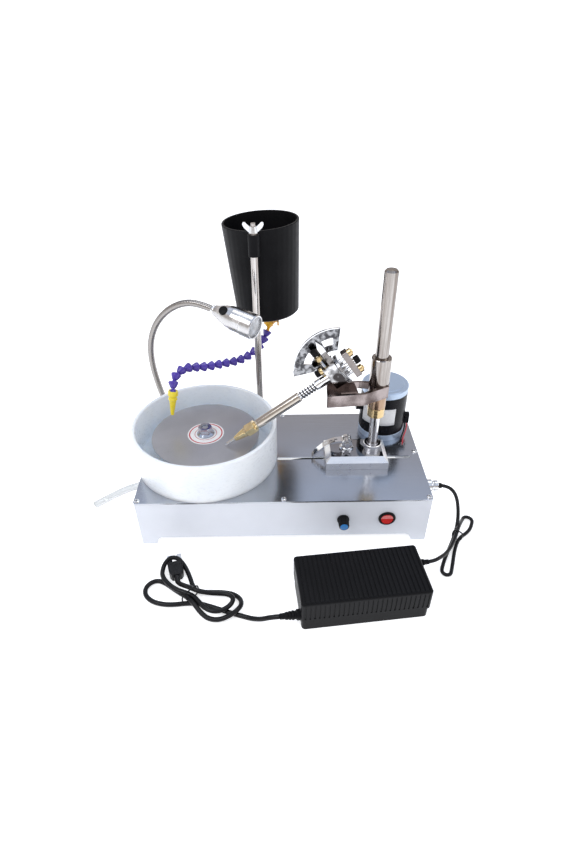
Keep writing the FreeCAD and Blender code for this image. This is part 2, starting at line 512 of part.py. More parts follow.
stud = fuse(cyl(P.stud_radius, pv - 66, (P.stud_x, ay, 66)), box(24, 14, 5, (P.stud_x - 12, ay - 7, plate_low - 0.3 - 5)),
            cyl(5.4, 6, (P.stud_x, ay - 3, pv), TOY), cyl(2.5, 18, (P.stud_x, ay - 9, pv), TOY), cyl(3.6, 1.2, (P.stud_x, ay - 10.2, pv), TOY), cyl(3.6, 1.2, (P.stud_x, ay + 9, pv), TOY))
washer = turned([(P.stud_radius, 0), (10, 0), (10, 1.8), (7.6, 2.4), (7.6, 3.2), (6.8, 4.0), (P.stud_radius, 4.0)], (P.stud_x, ay, block_top))
node("clamp_stud", group(stud, washer))
er = P.ear_radius
arm_outline = [(-3.0, 3.6), (-9.0, 4.6), (-17.0, 3.6), (-26.0, 0.0), (-34.0, -6.0), (-41.0, -13.0), (-46.0, -19.5), (-49.0, -24.0), (-46.5, -25.5), (-43.5, -20.5), (-38.5, -14.5), (-31.5, -7.8), (-24.5, -2.6), (-16.5, 0.6), (-9.0, 1.4), (-6.0, 0.2)]
arm = padded(arm_outline, 11, (P.stud_x, ay + 5.5, pv), TONY)
ears = [cyl(er, 4, (P.stud_x, ay + d, pv), TOY) for d in (-7.6, 3.6)]
room = cyl(6.2, 7.2, (P.stud_x, ay - 3.6, pv), TOY)
slits = [box(4.2, 2.6, 30, (P.stud_x - x, ay - 1.3, pv - 12)) for x in (17.5, 24.5, 31.5)]
node("clamp_lever", cut(fuse(cut(arm, room), *ears), cyl(2.5 + P.fit, 30, (P.stud_x, ay - 15, pv), TOY), *slits))

# ------------------------------------------------------------------ carriage on the mast
mrr = P.mast_rod_radius
node("stop_collar", turned([(mrr + P.fit, P.collar_low), (10.8, P.collar_low), (11.5, P.collar_low + 0.7), (11.5, P.collar_high - 1), (11.0, P.collar_high - 0.3), (mrr + P.fit, P.collar_high - 0.3)], (ax, ay, 0)))
node("carriage_bush", turned([(P.tube_radius, P.collar_high), (11.2, P.collar_high), (11.8, P.collar_high + 0.6), (11.8, P.bush_high), (P.tube_radius, P.bush_high)], (ax, ay, 0)))
node("mast_tube", turned([(mrr + P.fit, P.collar_high), (P.tube_radius, P.collar_high), (P.tube_radius, P.strap_high), (13, P.strap_high), (13, P.sleeve_high - 1), (12.2, P.sleeve_high), (P.tube_radius, P.sleeve_high),
                          (P.tube_radius, P.mast_top - 2), (P.tube_radius - 2, P.mast_top), (0, P.mast_top), (0, P.mast_top - 5), (mrr + P.fit, P.mast_top - 5)], (ax, ay, 0)))

sw = math.radians(P.swing_angle.v)
Xc, Yc, Zc = V(math.cos(sw), math.sin(sw), 0), V(-math.sin(sw), math.cos(sw), 0), V(0, 0, 1)
mast = V(ax.v, ay.v, 0)
car_rot = ROT(Zc, P.swing_angle.v)
ao, stt, strap_h = P.arm_offset, P.strap_thick, P.strap_high - P.strap_low - 0.2
front_arm = padded([(10, -(ao - 18)), (10, -(ao - 12.5)), (-25, -ao - stt / 2), (-72, -ao - stt / 2), (-73, -ao - stt / 2 + 1), (-73, -ao + stt / 2 - 1), (-72, -ao + stt / 2), (-26, -ao + stt / 2), (6, -(ao - 18))], strap_h, (ax, ay, P.strap_low + 0.1), car_rot)
ro = P.rear_offset
rear_arm = padded([(10, ro - 10), (10, ro - 5.5), (-22, ro + stt / 2), (-66, ro + stt / 2), (-66, ro - stt / 2), (-23, ro - stt / 2), (6, ro - 10)], 9.5, (ax, ay, P.strap_low + 0.1), car_rot)
bracket_floor = padded([(-72, -ao + stt / 2 - 1), (-26, -ao + stt / 2 - 1), (-26, ro - stt / 2 + 1), (-66, ro - stt / 2 + 1)], 2, (ax, ay, P.strap_low + 0.1), car_rot)
strap_ring = cyl(13.4, strap_h, (ax, ay, P.strap_low + 0.1))
tr, tl = P.trunnion_reach, P.trunnion_level
cheek = padded([(-66, 0), (-46, 0), (-46, 14), (-52.4, 18), (-52.4, 37.4), (-56.6, 43.2), (-60, 43.2), (-62.5, 40), (-66, 14)], stt, (0, 0, 0), TONY)
cheek.Placement = PLC(mast + Yc * (ro.v + 2) + Zc * P.strap_low.v + Zc * 0.1, car_rot.multiply(TONY))
pin_at = mast + Xc * (-tr.v) + Yc * 7.2 + Zc * tl.v
pin = cyl(3, 11.2, tuple(pin_at), car_rot.multiply(TOY))
node("head_bracket", cut(fuse(strap_ring, front_arm, rear_arm, bracket_floor, cheek, pin), cyl(P.tube_radius, 40, (ax, ay, 180))))

# graduated quadrant: sector about the tilt axis with two arc windows
qr, qt = P.quadrant_radius.v, P.quadrant_thick.v


def sector(r_in, r_out, a0, a1, thick):
    n0, n1, nm = math.radians(a0), math.radians(a1), math.radians((a0 + a1) / 2)

    def pt(r, a):
        return V(r * math.cos(a), r * math.sin(a), 0)
    e = [Part.LineSegment(pt(r_in, n0), pt(r_out, n0)).toShape(), Part.Arc(pt(r_out, n0), pt(r_out, nm), pt(r_out, n1)).toShape(),
         Part.LineSegment(pt(r_out, n1), pt(r_in, n1)).toShape(), Part.Arc(pt(r_in, n1), pt(r_in, nm), pt(r_in, n0)).toShape()]
    return Part.Face(Part.Wire(e)).extrude(V(0, 0, thick))


quad = sector(24, qr, 86, 191, qt).fuse(sector(4, 24.5, 128, 191, qt))
for a0, a1 in ((97, 118), (147, 171)):
    quad = quad.cut(sector(32, 42, a0, a1, qt))
for a in range(90, 181, 5):
    long_tick = a % 10 == 0
    t = Part.makeBox(4.6 if long_tick else 2.8, 0.5, 0.4, V(qr - 1.4 - (4.6 if long_tick else 2.8), -0.25, qt - 0.4))
    t.rotate(V(0, 0, 0), V(0, 0, 1), a)
    quad = quad.cut(t)
quad = quad.fuse(Part.makeCylinder(4.9, qt)).cut(Part.makeCylinder(3.0, qt)).removeSplitter()
quad_obj = shaped(quad)
quad_obj.Placement = PLC(mast + Xc * (-tr.v) + Yc * (ro.v - 2) + Zc * tl.v, ROT(Xc, Zc, V(0, 0, 0) - Yc, "XYZ"))
node("quadrant_plate", quad_obj)

# ------------------------------------------------------------------ tilting head and quill
th = math.radians(P.tilt_angle.v)
E1 = Xc * math.cos(th) + Zc * math.sin(th)
E2 = Zc * math.cos(th) - Xc * math.sin(th)
T = mast + Xc * (-tr.v) + Zc * tl.v
head_rot = ROT(E1, Yc, E2, "XYZ")
quill_rot = ROT(V(0, 0, 0) - E2, Yc, E1, "XYZ")


def at_q(xq, yq=0.0, zq=0.0):
    return tuple(T + E1 * xq + Yc * yq + E2 * zq)


fitv = P.fit.v
yoke = box(16.5, 22, 34, at_q(-12, -10, -15), head_rot)
sleeve = cyl(6.5, 20, at_q(-31.5), quill_rot)
pointer = padded([(-4, 0), (3.6, 0), (3.6, 26), (1.2, 33), (0, 36.5), (-1.2, 33), (-4, 26)], 3, at_q(-0.4, 11.6, 12), ROT(E1, E2, V(0, 0, 0) - Yc, "XYZ"))
lock_screw = turned([(0, 0), (1.6, 0), (1.6, 7), (4.2, 7), (4.2, 13), (1.6, 13), (1.6, 16), (4, 16), (4.4, 17), (4.4, 23), (3.8, 24), (0, 24)], at_q(-9.2, 4.6, 18.5), head_rot)
set_screw = cyl(1.8, 6, at_q(-4, 0, -20.5), head_rot)
yoke_cut = cut(fuse(yoke, sleeve, pointer, lock_screw, set_screw), cyl(4 + fitv, 60, at_q(-40), quill_rot), cyl(2 + fitv, 40, at_q(-20, 0, 13.5), quill_rot), cyl(3 + fitv, 8, at_q(0, 6.5, 0), car_rot.multiply(TOY)))
node("yoke_block", yoke_cut)
node("index_plunger", turned([(0, -24), (4.0, -24), (4.6, -23.2), (4.6, -18), (5.2, -17.4), (5.2, -13.2), (2.0, -13.2), (2.0, 3.6), (1.2, 5.0), (0, 5.0)], at_q(0, 0, 13.5), quill_rot))
node("index_wheel", turned([(4, 5.3), (19.2, 5.3), (20, 6.1), (20, 9.4), (19.2, 10.2), (7, 10.2), (7, 13), (4, 13)], at_q(0), quill_rot))
node("quill_shaft", turned([(0, -158), (4, -158), (4, -127), (6.2, -127), (6.6, -126), (6.6, -59), (6.2, -58), (4, -58), (4, 31), (0, 31)], at_q(0), quill_rot))
reach = P.quill_reach.v
chuck_hex = padded(hexagon(16.4), 15, at_q(-146), quill_rot, holes=[(0, 0, 4)])
chuck_round = turned([(0, -147), (6.4, -147), (9.2, -143.6), (9.2, -134), (8.0, -131), (0, -131)], at_q(0), quill_rot)
chuck_nose = turned([(0, -165), (3.4, -165), (4.8, -159), (6.4, -149), (6.4, -142), (0, -142)], at_q(0), quill_rot)
chuck_neck = turned([(4, -131.5), (5.6, -131.5), (5.6, -127), (4, -127)], at_q(0), quill_rot)
node("collet_chuck", cut(fuse(common(chuck_hex, chuck_round), chuck_nose, chuck_neck), cyl(4, 60, at_q(-158), quill_rot), cyl(2.4, 20, at_q(-170), quill_rot)))
node("dop_stick", turned([(0, -reach + 3.2), (1.6, -reach + 3.2), (2.4, -reach + 5.6), (2.4, -158), (0, -158)], at_q(0), quill_rot))
helix = Part.makeHelix(4.05, 24.4, 5.0)
coil = Part.Wire(helix).makePipeShell([Part.Wire([Part.makeCircle(0.8, V(5.0, 0, 0), V(0, 1, 4.05 / (2 * math.pi * 5.0)))])], True, True)
spring = shaped(coil)
spring.Placement = PLC(V(*at_q(-57.0)), quill_rot)
node("quill_spring", spring)
bar = padded([(-20, -6), (20, -6), (20, 6), (-20, 6)], 8, at_q(17), quill_rot, holes=[(0, 0, 4)], fillet=1.5, pick=upright)
ties = [cyl(2.4, 6.8, at_q(10.2, 0, s * 11), quill_rot) for s in (-1, 1)]
thumbs = [turned([(0, 0), (5.4, 0), (5.4, 4.2), (4.8, 5), (2.6, 5), (2.6, 6.4), (0, 6.4)], at_q(25, 0, s * 14.2), quill_rot) for s in (-1, 1)]
end_knob = turned([(4, 26), (5.2, 26), (5.2, 32), (4.4, 33), (0, 33), (0, 31), (4, 31)], at_q(0), quill_rot)
node("rear_bridge", group(bar, *ties, *thumbs, end_knob))

# ------------------------------------------------------------------ front controls and electrics
fy = -(oy)
kn = [(0, 0.8), (8.2, 0.8), (8.2, 2.6), (P.knob_radius, 3.4), (P.knob_radius - 0.7, P.knob_length - 1.2), (P.knob_radius - 1.8, P.knob_length), (0, P.knob_length)]
knob = turned(kn, (P.knob_x, fy, P.panel_level), TONY)
node("speed_knob", fuse(knob, cyl(3, 16, (P.knob_x, fy + 13.5, P.panel_level), TONY)))
pot = cut(fuse(cyl(12, 9, (P.knob_x, fy + P.wall_thick + 9.2, P.panel_level), TONY), box(70, 1.6, 44, (P.knob_x - 35, fy + P.wall_thick + 9.2, 20))), cyl(3 + P.fit, 30, (P.knob_x, fy + P.wall_thick + 18, P.panel_level), TONY))
heat_sink = box(24, 14, 30, (P.knob_x - 30, fy + P.wall_thick + 10.8, 26))
node("speed_controller", fuse(pot, heat_sink))
bezel = turned([(0, -20), (10, -20), (10, 0), (P.switch_radius, 0), (P.switch_radius, 1.4), (P.switch_radius - 1, 2.4), (9.0, 2.4), (9.0, -5.5), (0, -5.5)], (P.switch_x, fy, P.panel_level), TONY)
node("switch_body", bezel)
rocker_disc = cyl(8.2, 9, (P.switch_x, fy + 5.0, P.panel_level), TONY)
rocker_form = padded([(-8.0, -3.4), (-3.5, -4.8), (3.5, -4.8), (8.0, -3.4), (8.0, 2.6), (0, 0.9), (-8.0, 2.0)], 18, (P.switch_x - 9, fy - 0.6, P.panel_level), ROT(V(0, 0, 1), V(0, -1, 0), V(1, 0, 0), "XYZ"))
node("rocker", common(rocker_disc, rocker_form))
sox = ox
node("power_socket", turned([(0, -8), (8, -8), (8, 0), (9.6, 0), (9.6, 2.4), (8, 2.4), (8, 9), (0, 9)], (sox, P.socket_y, P.socket_z), TOX))
node("dc_plug", turned([(8, 3.4), (9.4, 3.4), (9.6, 4.0), (9.6, 9.0), (8.2, 10.2), (7.2, 10.4), (7.2, 12.6), (8.0, 13.2), (8.0, 17.4), (6.6, 18.6), (4.2, 19.4), (3.6, 24.0), (0, 24.0), (0, 9), (8, 9)], (sox, P.socket_y, P.socket_z), TOX))

# ------------------------------------------------------------------ supply with its cords
brot = ROT(V(0, 0, 1), P.brick_turn.v)
bc = V(P.brick_x.v, P.brick_y.v, 0)


def at_b(x, y, z):
    return tuple(bc + brot.multVec(V(x, y, 0)) + V(0, 0, z))


bl2, bd2 = P.brick_length / 2, P.brick_depth / 2
lower = padded([(-(bl2 - 1.2), -(bd2 - 1.2)), (bl2 - 1.2, -(bd2 - 1.2)), (bl2 - 1.2, bd2 - 1.2), (-(bl2 - 1.2), bd2 - 1.2)], P.brick_seam, at_b(0, 0, 0), brot, fillet=5.0, pick=upright)
upper = padded([(-bl2, -bd2), (bl2, -bd2), (bl2, bd2), (-bl2, bd2)], P.brick_height - P.brick_seam, at_b(0, 0, P.brick_seam.v), brot, fillet=4.0,
               pick=lambda e: upright(e) or min(v.Point.z for v in e.Vertexes) > 10)
pitch = 5.6
grooves = [box(1.8, P.brick_depth + 20, 4, at_b(-pitch * 13 + pitch * k - 0.9, -(bd2.v + 10), P.brick_height.v - 1.1), brot) for k in range(27)]
side_cuts = [box(1.8, 4, 24, at_b(-pitch * 13 + pitch * k - 0.9, -(bd2.v + 3.2), P.brick_seam.v + 3), brot) for k in range(27)]
end_cuts = [box(4, 1.8, 24, at_b(-(bl2.v + 3.2), -pitch * 5 + pitch * k - 0.9, P.brick_seam.v + 3), brot) for k in range(11)]
brick_case = cut(upper, *grooves, *side_cuts, *end_cuts)
DCR = V(*at_b(78.0, 25.0, 25.0))
ACR = V(*at_b(-78.0, -28.0, 20.0))
dc_dir = V(math.cos(math.radians(23)), math.sin(math.radians(23)), -0.1)
node("brick_bottom", lower)
relief_dc = turned([(0, -0.2), (5.4, -0.2), (5.4, 3), (4.2, 4), (4.2, 6), (4.8, 6.6), (4.4, 8), (3.8, 8.6), (4.3, 9.4), (3.9, 11), (3.3, 12), (3.2, 17), (0, 17)], tuple(DCR), ROT(V(0, 0, 1), brot.multVec(V(1, 0, 0))))
relief_ac = turned([(0, -0.2), (6.6, -0.2), (6.6, 4), (5.0, 5.2), (5.0, 7), (5.8, 7.8), (5.4, 9.6), (4.6, 10.4), (5.3, 11.4), (4.9, 13.4), (4.2, 14.2), (4.8, 15.2), (4.4, 17.4), (3.8, 18.2), (3.6, 24), (0, 24)], tuple(ACR), ROT(V(0, 0, 1), brot.multVec(V(-1, 0, 0))))
node("brick_top", fuse(brick_case, relief_dc, relief_ac))

dc_start = V(sox.v + 24, P.socket_y.v, P.socket_z.v)
dc_end = DCR + brot.multVec(V(17, 0, 0))
zf = P.dc_radius.v + 0.15
DC = [(dc_start.x, dc_start.y, dc_start.z), (229.5, -57.4, 60.2), (238.0, -60.5, 54.0), (243.2, -64.5, 44.0), (245.8, -69.5, 31.0), (246.4, -75.5, 19.0), (244.5, -83.0, 11.0), (240.0, -93.0, 8.0),
      (234.5, -104.0, 7.2), (227.0, -116.5, 5.0), (218.8, -129.5, zf), (212.6, -140.5, zf), (208.2, -149.4, zf), (204.9, -158.0, zf), (208.8, -163.7, zf), (215.7, -162.8, zf), (219.2, -154.6, zf), (224.2, -142.0, zf), (230.8, -124.5, zf), (238.8, -108.0, zf), (247.5, -98.0, zf),
      (257.0, -91.5, zf), (264.5, -83.5, zf), (269.3, -74.6, zf), (272.5, -66.8, zf), (268.8, -60.9, zf), (261.8, -60.7, zf + 0.6), (256.6, -68.4, 4.4), (250.6, -78.6, 9.4), (244.2, -89.5, 13.4), (238.4, -101.0, 13.6), (231.5, -113.5, 12.6), (223.0, -127.0, 13.6), (212.5, -140.5, 17.0), (201.5, -150.5, 21.4), (dc_end.x + 8.0, dc_end.y + 1.6, dc_end.z + 0.0), (dc_end.x, dc_end.y, dc_end.z)]
node("dc_cable", shaped(tube_shape("dc_cable", DC, P.dc_radius.v)))

ac_start = ACR + brot.multVec(V(-24, 0, 0))
az = P.ac_radius.v + 0.1
AC = [(ac_start.x, ac_start.y, ac_start.z), (-18.0, -232.0, 17.5), (-28.0, -229.5, 10.5), (-39.0, -225.0, 5.0), (-51.0, -220.0, az), (-60.5, -217.0, az)]
node("ac_lead", cut(shaped(tube_shape("ac_lead", AC, P.ac_radius.v)), relief_ac))
# tied bundle: outer shape of its two fanned ends
HANK = [(-62.5, -221.5), (-76.0, -227.5), (-90.0, -231.5), (-103.0, -224.0), (-112.0, -210.0), (-119.0, -203.5), (-131.0, -203.5), (-150.0, -205.0), (-172.0, -199.5), (-182.0, -185.0), (-179.0, -169.0), (-168.0, -161.0),
        (-165.0, -148.0), (-157.0, -137.5), (-143.0, -137.0), (-131.0, -147.5), (-121.5, -165.0), (-113.0, -182.0), (-98.0, -182.0), (-76.0, -183.5), (-61.0, -190.0), (-49.5, -203.0), (-51.0, -212.5), (-57.4, -216.6)]
n = len(HANK)
hank_face = Part.Face(Part.makePolygon([V(x, y, 0.05) for x, y in HANK] + [V(HANK[0][0], HANK[0][1], 0.05)]))
hank = hank_face.extrude(V(0, 0, 19.4))
PL = V(-136.5, -170.5, 6.3)
pl_dir = V(-0.26, 0.965, 0)
pl_dir.normalize()
pl_side = V(-pl_dir.y, pl_dir.x, 0)
pl_rot = ROT(pl_dir, pl_side, V(0, 0, 1), "XYZ")


def at_p(x, y, z):
    return tuple(PL + pl_dir * x + pl_side * y + V(0, 0, z))


plug_relief = turned([(0, 0), (3.2, 0), (4.0, 6), (4.6, 8.2), (0, 8.2)], at_p(0, 0, 0), ROT(V(0, 0, 1), pl_dir))
plug_body = padded([(0, -6), (5, -9), (20, -10), (22, -9), (22, 9), (20, 10), (5, 9), (0, 6)], 12.0, at_p(8, 0, -6.0), pl_rot, fillet=2.0, pick=upright)
pins = [box(16.5, 6.3, 1.6, at_p(29.5, s * 6.3 - 3.15, -0.8), pl_rot) for s in (-1, 1)]
node("ac_plug", fuse(plug_relief, plug_body, *pins))
node("ac_hank", cut(shaped(hank), box(60, 21, 30, at_p(0, -10.5, -17.6), pl_rot), shaped(tube_shape("lead_room", AC, P.ac_radius.v + 0.1))))

# ------------------------------------------------------------------ checks and export
doc.recompute()
bad = []
for o in doc.Objects:
    if "Invalid" in o.State or "Error" in o.State:
        bad.append("%s %s" % (o.Label, o.State))
for label, o in nodes.items():
    sh = o.Shape
    if sh.isNull() or not sh.isValid() or not sh.Solids:
        bad.append("%s shape" % label)
for b in bad:
    print("FAILED", b)
if bad:
    raise SystemExit("model has failed objects")
os.makedirs("parts", exist_ok=True)
for label, o in nodes.items():
    o.Shape.exportStep("parts/%s.step" % label)
print("nodes", len(nodes))
for label, o in nodes.items():
    bb = o.Shape.BoundBox
    print("%-18s solids %2d vol %10.1f  x %.1f..%.1f y %.1f..%.1f z %.1f..%.1f" % (label, len(o.Shape.Solids), o.Shape.Volume, bb.XMin, bb.XMax, bb.YMin, bb.YMax, bb.ZMin, bb.ZMax))
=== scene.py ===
import bpy
import bmesh
import math
import numpy as np
from mathutils import Matrix, Vector


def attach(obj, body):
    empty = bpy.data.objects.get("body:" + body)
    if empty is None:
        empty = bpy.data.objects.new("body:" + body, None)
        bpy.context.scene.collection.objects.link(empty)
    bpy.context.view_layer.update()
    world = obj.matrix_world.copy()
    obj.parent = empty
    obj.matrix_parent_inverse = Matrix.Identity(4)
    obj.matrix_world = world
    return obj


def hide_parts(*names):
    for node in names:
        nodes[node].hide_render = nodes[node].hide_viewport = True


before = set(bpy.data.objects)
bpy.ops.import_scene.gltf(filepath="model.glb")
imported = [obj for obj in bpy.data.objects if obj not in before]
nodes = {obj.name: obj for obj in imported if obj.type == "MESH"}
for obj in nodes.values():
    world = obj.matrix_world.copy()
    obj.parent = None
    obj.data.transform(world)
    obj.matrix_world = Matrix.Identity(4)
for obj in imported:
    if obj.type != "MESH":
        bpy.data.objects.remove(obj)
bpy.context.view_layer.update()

# Flat-lap wet grinder with a faceting head. Metres, in the shared frame.
scene = bpy.context.scene
MM = 0.001

# ------------------------------------------------------------------ camera
pos = Vector((-0.994, -602.081, 559.774)) * MM
yaw, pitch, roll = 0.014, 0.635, -0.005
fwd = Vector((math.sin(yaw) * math.cos(pitch), math.cos(yaw) * math.cos(pitch), -math.sin(pitch)))
right = Vector((math.cos(yaw), -math.sin(yaw), 0.0))
up = right.cross(fwd)
r2 = right * math.cos(roll) + up * math.sin(roll)
u2 = up * math.cos(roll) - right * math.sin(roll)
cam = bpy.data.cameras.new("camera")
cam.sensor_width = 36.0
cam.lens = 528.354 * 36.0 / 864.0
cam.clip_start, cam.clip_end = 0.01, 200.0
cam_obj = bpy.data.objects.new("camera", cam)
scene.collection.objects.link(cam_obj)
cam_obj.matrix_world = Matrix(((r2.x, u2.x, -fwd.x, pos.x), (r2.y, u2.y, -fwd.y, pos.y), (r2.z, u2.z, -fwd.z, pos.z), (0, 0, 0, 1)))
scene.camera = cam_obj


# ------------------------------------------------------------------ material kit
def make(name):
    m = bpy.data.materials.new(name)
    m.use_nodes = True
    nt = m.node_tree
    b = nt.nodes["Principled BSDF"]
    return m, nt, b


def node(nt, kind, **props):
    n = nt.nodes.new(kind)
    for k, v in props.items():
        setattr(n, k, v)
    return n


def coords(nt, scale=(1, 1, 1), shift=(0, 0, 0), turn=(0, 0, 0)):
    tc = node(nt, "ShaderNodeTexCoord")
    mp = node(nt, "ShaderNodeMapping")
    mp.inputs["Scale"].default_value = scale
    mp.inputs["Location"].default_value = shift
    mp.inputs["Rotation"].default_value = turn
    nt.links.new(tc.outputs["Object"], mp.inputs["Vector"])
    return mp.outputs["Vector"]


def noise(nt, vec, scale, detail=3.0, rough=0.55):
    n = node(nt, "ShaderNodeTexNoise")
    n.inputs["Scale"].default_value = scale
    n.inputs["Detail"].default_value = detail
    n.inputs["Roughness"].default_value = rough
    nt.links.new(vec, n.inputs["Vector"])
    return n.outputs["Fac"]


def ramp(nt, fac, stops):
    r = node(nt, "ShaderNodeValToRGB")
    e = r.color_ramp.elements
    while len(e) < len(stops):
        e.new(0.5)
    for el, (p, c) in zip(e, stops):
        el.position = p
        el.color = (c[0], c[1], c[2], 1.0)
    nt.links.new(fac, r.inputs["Fac"])
    return r.outputs["Color"]


def span(nt, fac, lo, hi, a=0.25, b=0.75):
    n = node(nt, "ShaderNodeMapRange")
    n.inputs["From Min"].default_value = a
    n.inputs["From Max"].default_value = b
    n.inputs["To Min"].default_value = lo
    n.inputs["To Max"].default_value = hi
    nt.links.new(fac, n.inputs["Value"])
    return n.outputs["Result"]


def calc(nt, op, a, b=None):
    n = node(nt, "ShaderNodeMath", operation=op)
    for i, x in enumerate((a, b)):
        if x is None:
            continue
        if isinstance(x, (int, float)):
            n.inputs[i].default_value = x
        else:
            nt.links.new(x, n.inputs[i])
    return n.outputs[0]


def bump(nt, bsdf, height, strength, distance, before=None):
    n = node(nt, "ShaderNodeBump")
    n.inputs["Strength"].default_value = strength
    n.inputs["Distance"].default_value = distance
    nt.links.new(height, n.inputs["Height"])
    if before is not None:
        nt.links.new(before, n.inputs["Normal"])
    nt.links.new(n.outputs["Normal"], bsdf.inputs["Normal"])
    return n.outputs["Normal"]


def shade(c, k):
    return tuple(max(0.0, min(1.0, x * k)) for x in c)


def finish_metal(name, color, rough, var=0.10, scale=90.0, stretch=(1, 1, 1), rough_var=0.06, bump_h=0.00001, bump_s=0.15, metallic=1.0, aniso=0.0, fine=900.0):
    """Metal: soft tone drift, streaked grain in roughness and bump."""
    m, nt, b = make(name)
    v = coords(nt, stretch)
    tone = noise(nt, coords(nt), 14.0, 4.0)
    grain = noise(nt, v, scale, 4.0, 0.6)
    col = ramp(nt, calc(nt, "ADD", calc(nt, "MULTIPLY", tone, 0.6), calc(nt, "MULTIPLY", grain, 0.4)), [(0.3, shade(color, 1 - var)), (0.7, shade(color, 1 + var))])
    nt.links.new(col, b.inputs["Base Color"])
    nt.links.new(span(nt, grain, max(0.02, rough - rough_var), rough + rough_var), b.inputs["Roughness"])
    b.inputs["Metallic"].default_value = metallic
    if aniso:
        b.inputs["Anisotropic"].default_value = aniso
    bump(nt, b, noise(nt, coords(nt, stretch), fine, 3.0), bump_s, bump_h)
    return m


def finish_plastic(name, color, rough, var=0.08, bump_h=0.00004, bump_s=0.25, fine=2200.0, coat=0.0, spec=0.5, rough_var=0.07, dust=0.0, sss=0.0, depth=0.0002):
    """Moulded plastic or rubber: pebbled skin, slight tone drift and handling marks."""
    m, nt, b = make(name)
    tone = noise(nt, coords(nt), 22.0, 5.0)
    marks = noise(nt, coords(nt, (1, 1, 3)), 160.0, 6.0, 0.7)
    col = ramp(nt, tone, [(0.3, shade(color, 1 - var)), (0.72, shade(color, 1 + var) if not dust else tuple(min(1, x * (1 + var) + dust) for x in color))])
    nt.links.new(col, b.inputs["Base Color"])
    nt.links.new(span(nt, marks, max(0.03, rough - rough_var), rough + rough_var), b.inputs["Roughness"])
    b.inputs["Specular IOR Level"].default_value = spec
    if coat:
        b.inputs["Coat Weight"].default_value = coat
        b.inputs["Coat Roughness"].default_value = 0.12
    if sss:
        b.inputs["Subsurface Weight"].default_value = sss
        b.inputs["Subsurface Radius"].default_value = (1.0, 1.1, 1.25)
        b.inputs["Subsurface Scale"].default_value = depth
    bump(nt, b, noise(nt, coords(nt), fine, 3.0), bump_s, bump_h)
    return m


def around(nt, cx, cy, count):
    """Ripple with the given count of crests round a vertical axis."""
    sep = node(nt, "ShaderNodeSeparateXYZ")
    nt.links.new(coords(nt, (1, 1, 1), (-cx, -cy, 0)), sep.inputs[0])
    ang = calc(nt, "ARCTAN2", sep.outputs["Y"], sep.outputs["X"])
    return calc(nt, "SINE", calc(nt, "MULTIPLY", ang, float(count)))


def finish_reflection_streaks(name, dark, light, rough, cx, cy, count=26.0):
    """Drawn and polished tube: long streaks of painted reflection down its length, dark to light with the angle round
    the axis, with fine grain.
    """
    m, nt, b = make(name)
    sep = node(nt, "ShaderNodeSeparateXYZ")
    nt.links.new(coords(nt, (1, 1, 1), (-cx, -cy, 0)), sep.inputs[0])
    flat = node(nt, "ShaderNodeCombineXYZ")
    nrm = node(nt, "ShaderNodeVectorMath", operation="NORMALIZE")
    nt.links.new(sep.outputs["X"], flat.inputs[0])
    nt.links.new(sep.outputs["Y"], flat.inputs[1])
    nt.links.new(flat.outputs[0], nrm.inputs[0])
    join = node(nt, "ShaderNodeVectorMath", operation="ADD")
    rise = node(nt, "ShaderNodeCombineXYZ")
    nt.links.new(calc(nt, "MULTIPLY", sep.outputs["Z"], 3.0), rise.inputs[2])
    nt.links.new(nrm.outputs[0], join.inputs[0])
    nt.links.new(rise.outputs[0], join.inputs[1])
    # painted reflection: the streak colour follows the direction round the tube's axis; the fine noise is grain
    streak = noise(nt, join.outputs[0], 1.7, 3.0, 0.6)
    fine = noise(nt, join.outputs[0], count, 3.0, 0.6)
    nt.links.new(ramp(nt, calc(nt, "ADD", calc(nt, "MULTIPLY", streak, 0.75), calc(nt, "MULTIPLY", fine, 0.25)), [(0.34, dark), (0.5, tuple((x + y) / 2 for x, y in zip(dark, light))), (0.62, light)]), b.inputs["Base Color"])
    nt.links.new(span(nt, fine, rough - 0.04, rough + 0.06), b.inputs["Roughness"])
    b.inputs["Metallic"].default_value = 1.0
    bump(nt, b, fine, 0.08, 0.00001)
    return m


M = {}
M["plate"] = finish_metal("plate_steel", (0.47, 0.49, 0.53), 0.20, 0.05, 260.0, (0.05, 1.6, 1.0), 0.04, 0.000003, 0.12, fine=1600.0)
M["white_panel"] = finish_plastic("white_panel", (0.68, 0.71, 0.77), 0.34, 0.03, 0.00003, 0.12, 1500.0, coat=0.15, rough_var=0.09)
M["basin_white"] = finish_plastic("basin_white", (0.84, 0.90, 0.99), 0.30, 0.025, 0.00003, 0.10, 900.0, coat=0.2, rough_var=0.10, sss=0.6, depth=0.011)
M["bright"] = finish_metal("bright_steel", (0.74, 0.75, 0.77), 0.12, 0.06, 220.0, (1, 1, 1), 0.06, 0.000008, 0.12)
M["chrome"] = finish_metal("chrome_polish", (0.80, 0.81, 0.83), 0.07, 0.04, 120.0, (1, 1, 0.2), 0.03, 0.000004, 0.06)
M["nut_steel"] = finish_metal("nut_steel", (0.44, 0.47, 0.54), 0.14, 0.12, 220.0, (1, 1, 1), 0.06, 0.000008, 0.12)
M["satin"] = finish_metal("satin_steel", (0.60, 0.61, 0.63), 0.26, 0.07, 300.0, (1, 1, 0.1), 0.07, 0.000008, 0.18)
M["rod_steel"] = finish_metal("rod_steel", (0.58, 0.57, 0.55), 0.22, 0.08, 300.0, (1, 1, 0.05), 0.07, 0.000008, 0.15)
M["turned"] = finish_metal("turned_alloy", (0.58, 0.59, 0.60), 0.30, 0.06, 500.0, (0.2, 0.2, 4.0), 0.08, 0.00001, 0.2)
M["gold"] = finish_metal("gold_alloy", (0.62, 0.47, 0.25), 0.20, 0.10, 260.0, (0.3, 0.3, 3.0), 0.07, 0.00001, 0.18)
M["pale_brass"] = finish_metal("pale_brass", (0.66, 0.55, 0.36), 0.18, 0.10, 260.0, (1, 1, 1), 0.06, 0.00001, 0.15)
